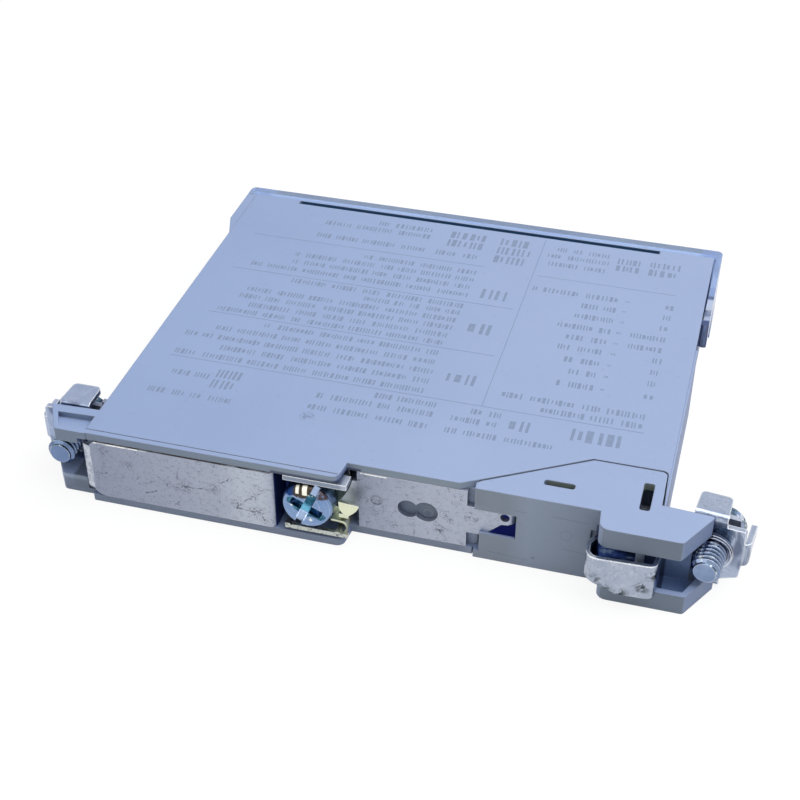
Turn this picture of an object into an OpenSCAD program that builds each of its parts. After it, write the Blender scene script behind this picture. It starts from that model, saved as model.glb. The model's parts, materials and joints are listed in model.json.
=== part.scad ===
// Slim safety barrier for a 35 mm rail, lying on its large side.
// X runs along the base from the left clamp to the right clamp, Y from the rail to the
// front cover, Z through the thickness. The origin is the middle of the lower side face.
// Lengths are in millimetres.

/* [Housing] */
// Length of the housing at its front
body_l = 78.2; // [74:0.1:84]
// Depth of the housing from its base to its front face
body_d = 69.3; // [64:0.1:76]
// Thickness of the module
body_t = 12; // [11.8:0.1:12.6]
// Thickness of the two large side walls
side_t = 1.1; // [0.9:0.05:1.2]
// Thickness of the housing's other walls
wall = 1.3; // [1:0.1:1.6]
// Thickness of the strip along the right end, outside the side cover
end_strip = 0.4; // [0.3:0.1:0.8]
// Thickness of the bulge on the left end, beside the front cover
bulge = 1.6; // [1:0.1:1.8]

/* [Rail seat] */
// Left end of the base block, where the rail seat steps back
step_x = 36.6; // [35:0.1:37.4]
// Depth of the rail seat behind the base
seat_y = 3.45; // [3.2:0.05:3.8]
// Distance from the step to the jaw of the foot
rail_gap = 34.3; // [33.8:0.1:35.2]
// Thickness of the contact sheets
sheet_t = 0.8; // [0.6:0.05:0.9]

/* [Rail foot] */
// Thickness of each jaw of the foot
jaw_t = 3; // [2.6:0.1:3.2]
// Thickness of the plates that lie flush in the sides
foot_plate_t = 1.2; // [1:0.05:1.3]
// Gap round the foot
foot_gap = 0.25; // [0.15:0.05:0.35]
// How far the latch clip stands in front of the base
clip_out = 2; // [1.6:0.1:2.3]
// Thickness of the latch clip's strip
clip_t = 0.6; // [0.5:0.05:0.7]
// Travel of the latch clip
clip_travel = 2; // [1:0.1:2.2]

/* [Clamps] */
// Distance of the left clamp screw from the housing
left_clamp_x = 5.1; // [4.9:0.1:5.5]
// Distance of the right clamp screw from the housing, where it comes out
right_clamp_x = 6.6; // [6.4:0.1:7.2]
// Lean of the right clamp, in degrees
right_lean = 7; // [4:0.5:8]
// Thread diameter of the clamp screws and of the fixing screw
screw_d = 4; // [3.6:0.1:4.2]
// Head diameter of the clamp screws
clamp_head_d = 6.7; // [6:0.1:7.4]
// Travel of the clamp yokes
yoke_travel = 1.6; // [1:0.1:1.7]

/* [Fixing screw] */
// Head diameter of the fixing screw
fixing_head_d = 7.1; // [6.8:0.1:7.3]
// Distance of the fixing screw from the step
fixing_in = 4.8; // [4.7:0.05:4.9]
// Travel of the claw as the fixing screw turns
claw_travel = 0.9; // [0.5:0.1:1]

/* [Terminals] */
// Thread diameter of the terminal screws
terminal_d = 3; // [2.6:0.1:3.2]
// Head diameter of the terminal screws
terminal_head_d = 4.2; // [3.8:0.1:4.4]
// Thickness of the wall between the two levels of terminals
divider_t = 0.5; // [0.4:0.05:0.7]
// Travel of a terminal cage
cage_travel = 2.4; // [1.5:0.1:2.5]

/* [Front cover] */
// Thickness of the clear cover
cover_t = 0.9; // [0.7:0.05:1]
// How far the cover stands in front of the housing
cover_out = 2.6; // [2.4:0.1:3]
// Distance of the cover's pivot from its front
cover_pivot_back = 20; // [19.4:0.1:20.4]

/* [Hidden] */
$fn = 48;
eps = 0.01;
run_gap = 0.05;
slip_gap = 0.1;
round_steps = 5;
mid_z = body_t / 2;
top_z = body_t - side_t;

// Base block and seat
base_wall_y = sheet_t + run_gap;
seat_wall_y = seat_y + sheet_t + run_gap;
step_round = 1.1;
jaw_x = step_x + rail_gap;

// Foot outline
foot_left_x = step_x + 17.6;
foot_top_y = seat_y + 9.45;
foot_slant_x = jaw_x - 2.7;
foot_right_x = body_l - 0.1;
arm_far_y = seat_y + 2.7;
arm_tip_x = body_l + 6.85;
low_jaw_over = 1.15;
low_jaw_start = 0.5;
jaw_near_y = -0.45;
tip_slant = 3.4;
web_y = seat_y - 0.5;
web_t = 1.25;
window_l = 5.65;
window_half = 2.45;
window_ledge = 0.9;
tray_rim = 0.9;
tray_floor = 1.1;
back_wall_y = seat_y + 1.35;
back_wall_t = 0.8;

// Latch clip
clip_nose = 1.4;
clip_low = 2.65;
clip_high = 8.2;
clip_right_x = jaw_x + 8.3;
clip_back_y = 2.5;
post_x = jaw_x + 5.6;
post_r = 0.6;

// Clamps, measured along their own screw from the outer end of the thread
clamp_start_y = 1.5;
yoke_near = 4.5;
yoke_t = 0.8;
yoke_in = 3.05;
yoke_neck_out = 1.1;
tab_flare = 0.3;
yoke_out = 4.72;
yoke_tab_l = 4.4;
yoke_plate_out = 3.9;
yoke_high = 4.4;
yoke_low = 4.4;
blade_high = 2.4;
blade_low = 1.25;
blade_l = 4.75;
yoke_edge = 0.1;
collar_l = 0.5;
lug_near = yoke_near + yoke_t + yoke_travel + slip_gap;
lug_half = 4;
lug_out = 2.75;
head_l = 2.4;
thread_pitch = 0.7;
thread_share = 0.58;
head_near = lug_near + sheet_t + run_gap;
slot_w = 1.1;
slot_deep = 1.1;
left_screw_x = -left_clamp_x;
right_thread_x = body_l + right_clamp_x - 0.1;
lug_mid = lug_near + sheet_t / 2;
lug_x = right_thread_x + lug_mid * sin(right_lean);
lug_y = clamp_start_y + lug_mid * cos(right_lean);
bar_end_x = body_l + 2;
bar_y = lug_y + (lug_x - bar_end_x) * tan(right_lean);

// Fixing screw and its frame
fixing_x = step_x - fixing_in;
fixing_face_y = -0.2;
fixing_head_l = 2.8;
fixing_under_y = fixing_face_y + fixing_head_l;
claw_y = fixing_under_y + run_gap;
claw_t = 0.8;
tail_y = claw_y + claw_t + claw_travel + slip_gap;
frame_back_y = tail_y + sheet_t;
frame_left_x = step_x - 8;
lip_right_x = step_x + 0.9;
frame_right_x = step_x - 0.2;
frame_low = 1.65;
wing_low = mid_z - 1.1;
wing_high = mid_z + 3.1;
frame_lip = 0.8;
frame_top = top_z - run_gap;
collar_r = 3;
collar_deep = 2;
pocket_left_x = step_x - 10.15;
pocket_back_y = frame_back_y + sheet_t + collar_deep + claw_travel + 1;

// Terminals
cage_l = 5;
chamber_w = (body_t - 2 * side_t - 2 * run_gap - divider_t) / 2;
cage_w = chamber_w - 2 * slip_gap;
terminal_pitch = chamber_w + divider_t;
terminal_back = 25.7;
cage_low_y = body_d - terminal_back;
cage_h = 6.5;
cage_floor = 1;
cage_top = 1.2;
cage_side = 0.7;
bar_t = 1;
bar_w = 2.6;
bar_low_y = cage_low_y + cage_floor + cage_travel + 0.3;
terminal_x = 4.7;
ledge_y = cage_low_y + cage_h + cage_travel + slip_gap;
ledge_t = 0.5;
terminal_head_l = 1.8;
driver_lip = 0.3;
chamber_half = cage_l / 2 + 0.2;
entry_low_y = cage_low_y - 0.6;
entry_high_y = ledge_y - 1.6;

// Inside
cavity_front_y = body_d - 2.5;
cavity_low_y = cage_low_y - 2;
cavity_x = terminal_x + chamber_half + wall;
board_z = 5.2;
board_t = 1.6;
board_in = 1;
part_axis_z = board_z + board_t + 1.9;
lead_r = 0.4;

// Front
total_d = body_d + cover_out;
slot_y = body_d - 1.15;
slot_left_x = 8.4;
slot_right_x = body_l - 8.8;
slot_wide = 0.8;
carrier_t = 1.1;
carrier_z = 1.25;
label_t = 0.25;
cover_z = 0.2;
cover_flange = 0.8;
cover_start_y = body_d + 0.15;
cover_left_x = -bulge - 0.05;
cover_right_x = body_l + 1.2;
leg_low_z = 6.8;
leg_below = 0.9;
pivot_x = body_l - 1;
pivot_y = total_d - cover_pivot_back;
pivot_r = 0.6;
eye_r = 1.05;
strip_end_y = entry_low_y - 0.6;
bulge_l = 8.7;
bulge_ramp = 4.9;
bulge_full_y = body_d - bulge_l;
bulge_start_y = bulge_full_y - bulge_ramp;

plastic = [0.62, 0.68, 0.80];
tin = [0.78, 0.79, 0.80];
steel = [0.70, 0.71, 0.73];
blue_zinc = [0.50, 0.60, 0.75];
yellow_zinc = [0.85, 0.84, 0.66];
clear = [0.80, 0.86, 0.95, 0.4];

// Outlines made of points [x, y, corner radius]

function unit(v) = v / norm(v);
function flat(p) = [p[0], p[1]];
function corner(a, b, c, r) =
    let(u = unit(a - b), v = unit(c - b), half = acos(u * v) / 2,
        start = b + u * r / tan(half), middle = b + unit(u + v) * r / sin(half),
        angle = atan2(start.y - middle.y, start.x - middle.x),
        turn = (180 - 2 * half) * sign(cross(b - a, c - b)))
    [for (i = [0:round_steps])
        middle + r * [cos(angle + turn * i / round_steps), sin(angle + turn * i / round_steps)]];
function rounded(pts) =
    [for (i = [0:len(pts) - 1])
        let(a = pts[(i + len(pts) - 1) % len(pts)], b = pts[i], c = pts[(i + 1) % len(pts)])
        each (b[2] > 0 ? corner(flat(a), flat(b), flat(c), b[2]) : [flat(b)])];

// A bent sheet: the outline at both sides of a centre line of points [x, y, bend radius]
function normal(a, b) = let(u = unit(flat(b) - flat(a))) [-u.y, u.x];
function side_point(path, i, d) =
    i == 0 ? flat(path[0]) + d * normal(path[0], path[1]) :
    i == len(path) - 1 ? flat(path[i]) + d * normal(path[i - 1], path[i]) :
    let(n = normal(path[i - 1], path[i]), m = normal(path[i], path[i + 1]))
    flat(path[i]) + d * (n + m) / (1 + n * m);
function bend_side(path, i) =
    i == 0 || i == len(path) - 1 ? 0 :
    sign(cross(flat(path[i]) - flat(path[i - 1]), flat(path[i + 1]) - flat(path[i])));
function sheet_side(path, d) =
    [for (i = [0:len(path) - 1])
        let(p = side_point(path, i, d), turn = bend_side(path, i),
            r = turn == 0 ? 0 : max(0.1, path[i][2] - turn * d)) [p.x, p.y, r]];
function backwards(list) = [for (i = [len(list) - 1:-1:0]) list[i]];
function sheet_outline(path, t) =
    rounded(concat(sheet_side(path, t / 2), backwards(sheet_side(path, -t / 2))));

module plate(points, low, high) {
    translate([0, 0, low]) linear_extrude(height = high - low) polygon(points);
}

// A flat piece standing across Y, from an outline in X and Z
module upright(points, near, far) {
    translate([0, far, 0]) rotate([90, 0, 0]) linear_extrude(height = far - near) polygon(points);
}

module block(x0, x1, y0, y1, z0, z1) {
    translate([x0, y0, z0]) cube([x1 - x0, y1 - y0, z1 - z0]);
}

// A round bar along Y
module rod(x, z, y0, y1, r) {
    translate([x, y0, z]) rotate([-90, 0, 0]) cylinder(h = y1 - y0, r = r);
}

module place() {
    translate([-body_l / 2, -body_d / 2, 0]) children();
}

module mirror_z() {
    children();
    translate([0, 0, body_t]) mirror([0, 0, 1]) children();
}

// The right clamp leans over about the outer end of its thread
module left_clamp() {
    translate([left_screw_x, clamp_start_y, mid_z]) mirror([1, 0, 0]) children();
}

module right_clamp() {
    translate([right_thread_x, clamp_start_y, mid_z]) rotate([0, 0, -right_lean]) children();
}

// Housing

// The outline of a side face: the lower one runs straight on to the foot, the upper one
// turns in first. Both end at the left end of the foot and round its far side.
function foot_side(turn_x) = [[turn_x, seat_y, 0], [foot_left_x + 0.35, seat_y + 1.5, 0],
    [foot_slant_x - 0.15, foot_top_y + foot_gap, 0],
    [foot_right_x, foot_top_y + foot_gap, 0.8], [foot_right_x + foot_gap, arm_far_y + 0.1, 0]];
upper_turn_x = foot_left_x - 2.3;
lower_turn_x = foot_left_x - foot_gap;
base_points = [[0, 0, 0], [step_x - 0.4, 0.1, step_round], [step_x, seat_y, 0]];
cover_outline = rounded(concat(base_points, foot_side(upper_turn_x),
    [[body_l, body_d, 0.3], [0, body_d, 0.3]]));
right_points = [[body_l + end_strip, arm_far_y + 0.1, 0], [body_l + end_strip, strip_end_y, 0],
    [body_l, strip_end_y, 0], [body_l, body_d, 0]];
left_points = [[-bulge, body_d, 0], [-bulge, bulge_full_y, 0.8], [0, bulge_start_y, 0]];
low_outline = rounded(concat([[0, 0, 0.35], [step_x + 0.1, 0.1, step_round],
    [step_x + 0.45, seat_y, 0]], foot_side(lower_turn_x), right_points, left_points));
core_outline = concat([[0, base_wall_y], [pocket_left_x, base_wall_y],
    [pocket_left_x, seat_wall_y], [foot_left_x + 0.35, seat_wall_y],
    [foot_left_x + 0.35, seat_y + 1.5], [foot_slant_x - 0.15, foot_top_y + foot_gap],
    [foot_right_x, foot_top_y + foot_gap], [foot_right_x, arm_far_y + 0.1]],
    [for (p = right_points) flat(p)], [for (p = left_points) flat(p)]);
slant = unit([foot_slant_x - foot_left_x - 0.5, foot_top_y - seat_y - 1.25]);
slant_shift = [-slant.y, slant.x] * (wall + foot_gap);
cavity_outline = [[wall + 0.2, base_wall_y + wall], [pocket_left_x - wall, base_wall_y + wall],
    [pocket_left_x - wall, pocket_back_y + wall], [step_x + 1 + wall, pocket_back_y + wall],
    [step_x + 1 + wall, seat_wall_y + wall], [foot_left_x - 1, seat_wall_y + wall],
    [foot_slant_x + slant_shift.x, foot_top_y + slant_shift.y],
    [body_l - wall - 0.3, foot_top_y + slant_shift.y], [body_l - wall - 0.3, cavity_low_y],
    [body_l - cavity_x, cavity_low_y], [body_l - cavity_x, cavity_front_y],
    [cavity_x, cavity_front_y], [cavity_x, cavity_low_y], [wall + 0.2, cavity_low_y]];
foot_room = [[foot_left_x + 1, seat_y - 4], [foot_left_x + 1, seat_y + 1.8],
    [foot_slant_x - 0.6, foot_top_y - 0.8], [body_l - 0.8, foot_top_y - 0.8],
    [body_l - 0.8, arm_far_y + 0.15], [body_l + 2, arm_far_y + 0.15], [body_l + 2, seat_y - 4]];
ear_outline = rounded([[-4.35, -0.15, 0.2], [0.2, -0.15, 0], [0.2, 5.3, 0], [-7.1, 4.95, 0.2]]);
low_ear_outline = rounded([[-4.9, 1.2, 0.9], [0.2, 1.2, 0], [0.2, 5, 0], [-7.3, 4.8, 0.5]]);

module terminal_room(x, z) {
    block(x - chamber_half, x + chamber_half, entry_low_y, ledge_y, z - cage_w / 2 - slip_gap,
        z + cage_w / 2 + slip_gap);
    rod(x, z, ledge_y - eps, ledge_y + ledge_t + eps, terminal_d / 2 + run_gap);
    rod(x, z, ledge_y + ledge_t, body_d + 1, terminal_head_d / 2 + slip_gap);
}

module terminal_spots() {
    for (x = [terminal_x, body_l - terminal_x], level = [-0.5, 0.5]) {
        translate([x, 0, mid_z + level * terminal_pitch]) children();
    }
}

module wire_entries() {
    for (x = [-3, body_l - terminal_x], level = [-0.5, 0.5]) {
        z = mid_z + level * terminal_pitch;
        block(x, x + terminal_x + 3, entry_low_y, entry_high_y, z - cage_w / 2 - slip_gap,
            z + cage_w / 2 + slip_gap);
    }
}

module bar_slots() {
    for (x = [terminal_x, body_l - cavity_x - eps], level = [-0.5, 0.5]) {
        z = mid_z + level * terminal_pitch;
        block(x, x + cavity_x - terminal_x + eps, bar_low_y, bar_low_y + bar_t,
            z - bar_w / 2, z + bar_w / 2);
    }
}

module housing() {
    color(plastic) place() difference() {
        union() {
            plate(low_outline, 0, side_t);
            plate(core_outline, side_t - eps, top_z);
            intersection() {
                plate(core_outline, top_z - eps, body_t - 0.15);
                housing_rims();
            }
            plate(low_ear_outline, 0, side_t - 0.2);
            intersection() {
                plate(low_ear_outline, 0, 2.9);
                block(-9, -sheet_t - 0.3, -1, 8, 0, 4);
            }
        }
        plate(cavity_outline, side_t, body_t);
        block(pocket_left_x, step_x + 1, -1, pocket_back_y, side_t, body_t);
        plate(foot_room, foot_plate_t + run_gap, body_t);
        foot_recess(lower_turn_x, -1, foot_plate_t + run_gap);
        foot_recess(upper_turn_x, body_t - foot_plate_t - run_gap, body_t + 1);
        block(body_l - 1, body_l + 2, bar_y - sheet_t / 2 - slip_gap, bar_y + sheet_t / 2 + slip_gap,
            bar_low_z - slip_gap, bar_high_z + slip_gap);
        terminal_spots() terminal_room(0, 0);
        wire_entries();
        bar_slots();
        block(slot_left_x, slot_right_x, slot_y, slot_y + slot_wide, top_z - 2, body_t);
        cover_pivot_room();
        translate([pivot_x, pivot_y, side_t]) cylinder(h = body_t, r = pivot_r);
    }
}

// The parts of the walls that stand up beside the side cover
module housing_rims() {
    block(body_l + run_gap, body_l + 3, arm_far_y, body_d, 0, body_t);
    block(-3, -run_gap, bulge_start_y, body_d, 0, body_t);
}

module foot_recess(turn_x, low, high) {
    plate(rounded(concat([[turn_x, seat_y - 4, 0]], foot_side(turn_x),
        [[body_l + 3, arm_far_y + 0.1, 0], [body_l + 3, seat_y - 4, 0]])), low, high);
}

// Room in the right end for the eye of the cover and its swing
module cover_pivot_room() {
    low = leg_low_z - slip_gap;
    translate([pivot_x, pivot_y, low]) cylinder(h = top_z - low + eps, r = eye_r + 0.15);
    intersection() {
        translate([pivot_x, pivot_y, low]) cylinder(h = top_z - low + eps, r = 2.5);
        block(pivot_x - 0.95, body_l + 3, pivot_y - 3, pivot_y + 3, low, body_t);
    }
}

module side_cover() {
    color(plastic) place() difference() {
        union() {
            plate(cover_outline, top_z, body_t);
            plate(ear_outline, top_z, body_t);
            intersection() {
                plate(ear_outline, body_t - 2, body_t);
                block(-9, -sheet_t - 0.3, -1, 8, 0, body_t);
            }
        }
        ear_recess();
        block(slot_left_x, slot_right_x, slot_y, slot_y + slot_wide, 0, body_t + 1);
        block(0, step_x - 0.5, 0.86, 0.98, body_t - 0.1, body_t + 1);
    }
}

// The sloping recess in the ear, deepest at its far wall
module ear_recess() {
    outline = [[-3.95, 0.5], [-0.05, 0.5], [-0.05, 3.75], [-5.45, 3.5]];
    intersection() {
        plate(outline, body_t - 2, body_t + 1);
        translate([-7, 0.5, body_t]) rotate([-16, 0, 0]) cube([8, 6, 3]);
    }
}

// Inside

module potting_block() {
    color([0.13, 0.13, 0.14]) place() difference() {
        plate(cavity_outline, side_t, top_z);
        board_shape();
        terminal_bar_shapes();
        component_shapes();
    }
}

module board_shape() {
    block(cavity_x + board_in, body_l - cavity_x - board_in, foot_top_y + 5,
        cavity_front_y - 3, board_z, board_z + board_t);
}

module circuit_board() {
    color([0.12, 0.36, 0.2]) place() difference() {
        board_shape();
        terminal_pins();
        component_shapes();
    }
}

// An axial part with its two square leads bent down through the board
module axial_part(x, y, l, r, span) {
    far = span / 2 + lead_r;
    near = span / 2 - lead_r;
    translate([x - l / 2, y, part_axis_z]) rotate([0, 90, 0]) cylinder(h = l, r = r);
    upright([[x - far, board_z], [x - near, board_z], [x - near, part_axis_z - lead_r],
        [x + near, part_axis_z - lead_r], [x + near, board_z], [x + far, board_z],
        [x + far, part_axis_z + lead_r], [x - far, part_axis_z + lead_r]],
        y - lead_r, y + lead_r);
}

fuse_x = 20;
fuse_l = 9;
fuse_r = 1.7;
fuse_span = fuse_l + 4;
diode_x = 39;
diode_l = 7;
diode_r = 1.65;
diode_span = diode_l + 5;
resistor_x = 57;
resistor_l = 9;
resistor_r = 1.6;
resistor_span = resistor_l + 4;
row_y = 26;
row_pitch = 9;

module fuse_shape() {
    axial_part(fuse_x, row_y + row_pitch, fuse_l, fuse_r, fuse_span);
}

module diode_shape(n) {
    axial_part(diode_x, row_y + (n - 1) * row_pitch, diode_l, diode_r, diode_span);
}

module resistor_shape(n) {
    axial_part(resistor_x, row_y + (n - 0.5) * row_pitch, resistor_l, resistor_r,
        resistor_span);
}

module component_shapes() {
    fuse_shape();
    for (n = [1:3]) {
        diode_shape(n);
    }
    for (n = [1:2]) {
        resistor_shape(n);
    }
}

module fuse() {
    color([0.85, 0.85, 0.8]) place() fuse_shape();
}

module zener_diode(n) {
    color([0.1, 0.1, 0.1]) place() diode_shape(n);
}

module resistor(n) {
    color([0.35, 0.5, 0.62]) place() resistor_shape(n);
}

// Terminals

pin_in = 1.2;

module terminal_pins() {
    for (x = [cavity_x + board_in + pin_in, body_l - cavity_x - board_in - pin_in],
        level = [-0.5, 0.5]) {
        translate([x, bar_low_y + bar_t / 2 + level * 1.6, board_z - 0.6])
            cylinder(h = board_t + 1.2, r = 0.4);
    }
}

// A bar reaches from inside its cage to a foot that stands in the circuit board
module terminal_bar_shape(n) {
    left = n < 3;
    low = n % 2 == 1;
    z = spot_z(n);
    pin_x = left ? cavity_x + board_in + pin_in : body_l - cavity_x - board_in - pin_in;
    pin_y = bar_low_y + bar_t / 2 + (low ? -0.8 : 0.8);
    x0 = left ? terminal_x - cage_l / 2 : pin_x - 1.2;
    x1 = left ? pin_x + 1.2 : body_l - terminal_x + cage_l / 2;
    z0 = low ? z + bar_w / 2 - 0.8 : z - bar_w / 2;
    block(x0, x1, bar_low_y, bar_low_y + bar_t, z - bar_w / 2, z + bar_w / 2);
    block(pin_x - 0.9, pin_x + 0.9, min(pin_y - 0.6, bar_low_y + eps),
        max(pin_y + 0.6, bar_low_y + bar_t - eps), z0, z0 + 0.8);
    translate([pin_x, pin_y, low ? z0 : board_z - 0.6])
        cylinder(h = low ? board_z + board_t + 0.6 - z0 : z0 + 0.8 - board_z + 0.6, r = 0.4);
}

module terminal_bar_shapes() {
    for (n = [1:4]) {
        terminal_bar_shape(n);
    }
}

module terminal_bar(n) {
    color([0.8, 0.55, 0.35]) place() terminal_bar_shape(n);
}

function spot_x(n) = n < 3 ? terminal_x : body_l - terminal_x;
function spot_z(n) = mid_z + (n % 2 == 1 ? -0.5 : 0.5) * terminal_pitch;

module terminal_cage(n) {
    color(steel) place() translate([spot_x(n), cage_low_y, spot_z(n)]) difference() {
        block(-cage_l / 2, cage_l / 2, 0, cage_h, -cage_w / 2, cage_w / 2);
        block(-cage_l, cage_l, cage_floor, cage_h - cage_top, cage_side - cage_w / 2,
            cage_w / 2 - cage_side);
        rod(0, 0, 0.5 * cage_h, cage_h + 1, terminal_d / 2 + run_gap);
    }
}

module terminal_screw(n) {
    head_y = ledge_y + ledge_t + run_gap;
    color(steel) place() translate([spot_x(n), 0, spot_z(n)]) difference() {
        union() {
            rod(0, 0, bar_low_y + bar_t + run_gap, head_y + eps, terminal_d / 2);
            rod(0, 0, head_y, head_y + terminal_head_l, terminal_head_d / 2);
        }
        block(-terminal_head_d, terminal_head_d, head_y + terminal_head_l - 0.9,
            head_y + terminal_head_l + 1, -0.4, 0.4);
    }
}

// Earth contact

module earth_strip() {
    tail_x = pocket_left_x + sheet_t / 2 + run_gap;
    strip = [[left_screw_x - lug_out, clamp_start_y + lug_mid, 0],
        [-sheet_t / 2 - run_gap, clamp_start_y + lug_mid, 0.7],
        [-sheet_t / 2 - run_gap, 0.74, 0.45], [0.57, sheet_t / 2, 0.5], [tail_x, sheet_t / 2, 0.5],
        [tail_x, tail_y + sheet_t / 2, 0.7], [frame_right_x - 0.4, tail_y + sheet_t / 2, 0]];
    low = side_t + run_gap;
    trimmed = [[-9, -1], [2.4, -1], [2.2, low - 0.1], [1.9, low + 0.05], [1.4, low + 0.2],
        [0.95, low + 0.45], [0.68, low + 0.75], [0.5, low + 1.1], [-9, low + 1.1]];
    color(tin) place() difference() {
        plate(sheet_outline(strip, sheet_t), low, body_t - low);
        mirror_z() {
            upright(trimmed, -sheet_t, 5);
            block(-20, -sheet_t - 0.5, clamp_start_y + lug_near - 1, pocket_back_y,
                -1, mid_z - lug_half);
            block(tail_x + 0.5, step_x + 1, fixing_under_y, pocket_back_y, -1,
                frame_low + frame_lip + run_gap);
        }
        rod(left_screw_x, mid_z, 5, 15, screw_d / 2 + run_gap);
        rod(fixing_x, mid_z, 1, 15, screw_d / 2 + run_gap);
    }
}

// The frame behind the fixing screw: an open stamping with a threaded collar
module fixing_frame() {
    near = 0.05;
    leg = 0.7;
    color(tin) place() difference() {
        union() {
            block(frame_left_x, frame_right_x, frame_back_y, frame_back_y + sheet_t, frame_low,
                frame_top);
            block(frame_left_x, frame_right_x, near, frame_back_y + eps,
                frame_top - frame_lip, frame_top);
            block(frame_left_x, lip_right_x, near, near + leg, frame_low,
                frame_low + frame_lip - 0.15);
            block(frame_right_x - leg, lip_right_x, near, near + 2.2, frame_top - frame_lip,
                frame_top);
            block(frame_left_x, frame_left_x + leg, near, frame_back_y + eps, frame_low,
                frame_low + frame_lip);
            block(frame_right_x - leg, frame_right_x, near, frame_back_y + eps, frame_low,
                frame_low + frame_lip);
            rod(fixing_x, mid_z, frame_back_y, frame_back_y + sheet_t + collar_deep, collar_r);
        }
        rod(fixing_x, mid_z, 1, 20, screw_d / 2 + run_gap);
    }
}

bar_low_z = mid_z + 0.3;
bar_high_z = bar_low_z + 2;

// The seat plate, with a tongue that runs on inside the foot to the right clamp
module rail_contact_plate() {
    low = side_t + run_gap;
    mid_y = seat_y + sheet_t / 2;
    turn_x = foot_left_x + 5;
    rise_x = jaw_x - 5.9;
    strip = [[step_x - 1.5, mid_y, 0], [turn_x, mid_y, 0.6], [turn_x, mid_y + 1.5, 0.6],
        [rise_x, mid_y + 1.5, 0.6], [rise_x, bar_y, 0.8], [bar_end_x, bar_y, 0.6],
        [lug_x + lug_out * cos(right_lean), lug_y - lug_out * sin(right_lean), 0]];
    color(tin) place() difference() {
        plate(sheet_outline(strip, sheet_t), low, body_t - low);
        mirror_z() block(step_x + 16.5, turn_x - 0.4, 0, 6, -1, mid_z - 2.3);
        block(turn_x - 0.4, lug_x - 2.7, 0, 14, -1, bar_low_z);
        block(turn_x - 0.4, lug_x - 2.7, 0, 14, bar_high_z, body_t + 1);
        mirror_z() block(lug_x - 3, lug_x + 6, 0, 14, -1, mid_z - lug_half);
        upright([[turn_x - 4, 0], [turn_x - 4, 3.6], [turn_x - 1.4, bar_low_z - 0.2],
            [turn_x + 1, bar_low_z], [turn_x + 1, 0]], 0, seat_y + sheet_t + 0.6);
        rod(turn_x - 0.95, mid_z + 1.35, 1, 5, 0.65);
        block(step_x - 2, step_x + 1.3, seat_y - 1, seat_y + 2, wing_high, body_t);
        block(step_x - 2, step_x + 1.5, seat_y - 1, seat_y + 2, 0, wing_low);
        upright([[step_x - 2, wing_low - 1], [step_x - 1.45, wing_low - 1], [step_x - 1.45, wing_low],
            [step_x - 0.7, wing_low + 1.1], [step_x + 0.1, wing_low + 2.55], [step_x + 0.65, wing_high],
            [step_x + 0.65, wing_high + 1], [step_x - 2, wing_high + 1]], seat_y - 1, seat_y + 2);
        rod(step_x + 8.4, mid_z - 0.1, 1, 5, 1.45);
        rod(step_x + 10.9, mid_z - 0.1, 1, 5, 1.65);
        right_clamp() rod(0, 0, 0, 15, screw_d / 2 + run_gap);
    }
}

module fixing_screw() {
    r = fixing_head_d / 2;
    end_y = frame_back_y + sheet_t + collar_deep;
    recess = [[-2.35, -1], [2.35, -1], [2.35, 0], [1.7, 1.05], [0.9, 2], [-0.9, 2], [-1.7, 1.05], [-2.35, 0]];
    color(blue_zinc) place() translate([fixing_x, fixing_face_y, mid_z]) difference() {
        rotate([-90, 0, 0]) union() {
            rotate_extrude() polygon([[0, 0], [r - 0.7, 0.05], [r - 0.25, 0.22], [r, 0.6],
                [r, fixing_head_l], [0, fixing_head_l]]);
            cylinder(h = end_y - fixing_face_y, r = screw_d / 2);
        }
        rotate([0, -66, 0]) {
            block(-r - 1, r + 1, -1, 1, -0.45, 0.45);
            plate(recess, -0.62, 0.62);
            rotate([0, 90, 0]) plate(recess, -0.68, 0.68);
        }
    }
}

// The claw: a flat tail under the screw head, a tooth over the rail's edge and a thin leg
module rail_claw() {
    tooth_y = 1.2;
    tooth_t = 0.35;
    left_x = step_x - 0.7;
    tail_right_x = step_x - 0.3;
    shelf = wing_low - 0.15;
    tooth = [[left_x, shelf + 2.15], [left_x + 2.85, shelf + 1.9], [left_x + 2.85, shelf + 1.6],
        [left_x + 2.45, shelf + 0.9], [left_x + 1.95, shelf + 0.35], [left_x + 1.5, shelf],
        [left_x + 1.4, shelf - 0.25], [left_x + 0.9, shelf - 0.15], [left_x + 0.45, shelf + 0.35],
        [left_x + 0.1, shelf + 0.9]];
    leg = [[fixing_x + 3, 3.5, 0], [step_x + 0.4, 3.35, 0.75], [step_x + 0.4, 2.2, 0.6],
        [step_x + 0.15, 1.6, 0]];
    wing_room = [[step_x - 1.7, shelf], [step_x - 0.85, wing_low + 1.2],
        [step_x + 0.1, wing_low + 2.9], [step_x + 3, wing_low + 2.9], [step_x + 3, shelf]];
    color(yellow_zinc) place() difference() {
        union() {
            difference() {
                block(fixing_x - 2.9, tail_right_x, claw_y, claw_y + claw_t, 3.4, 8.6);
                upright(wing_room, claw_y - 1, claw_y + claw_t + 1);
            }
            block(left_x, left_x + 1.35, tooth_y + 0.15, claw_y + claw_t, shelf - 0.7, shelf - 0.05);
            upright(tooth, tooth_y, tooth_y + tooth_t);
            upright(sheet_outline(leg, 0.3), tooth_y, claw_y + claw_t);
        }
        rod(fixing_x, mid_z, 1, 15, screw_d / 2 + run_gap);
    }
}

// Rail foot

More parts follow.
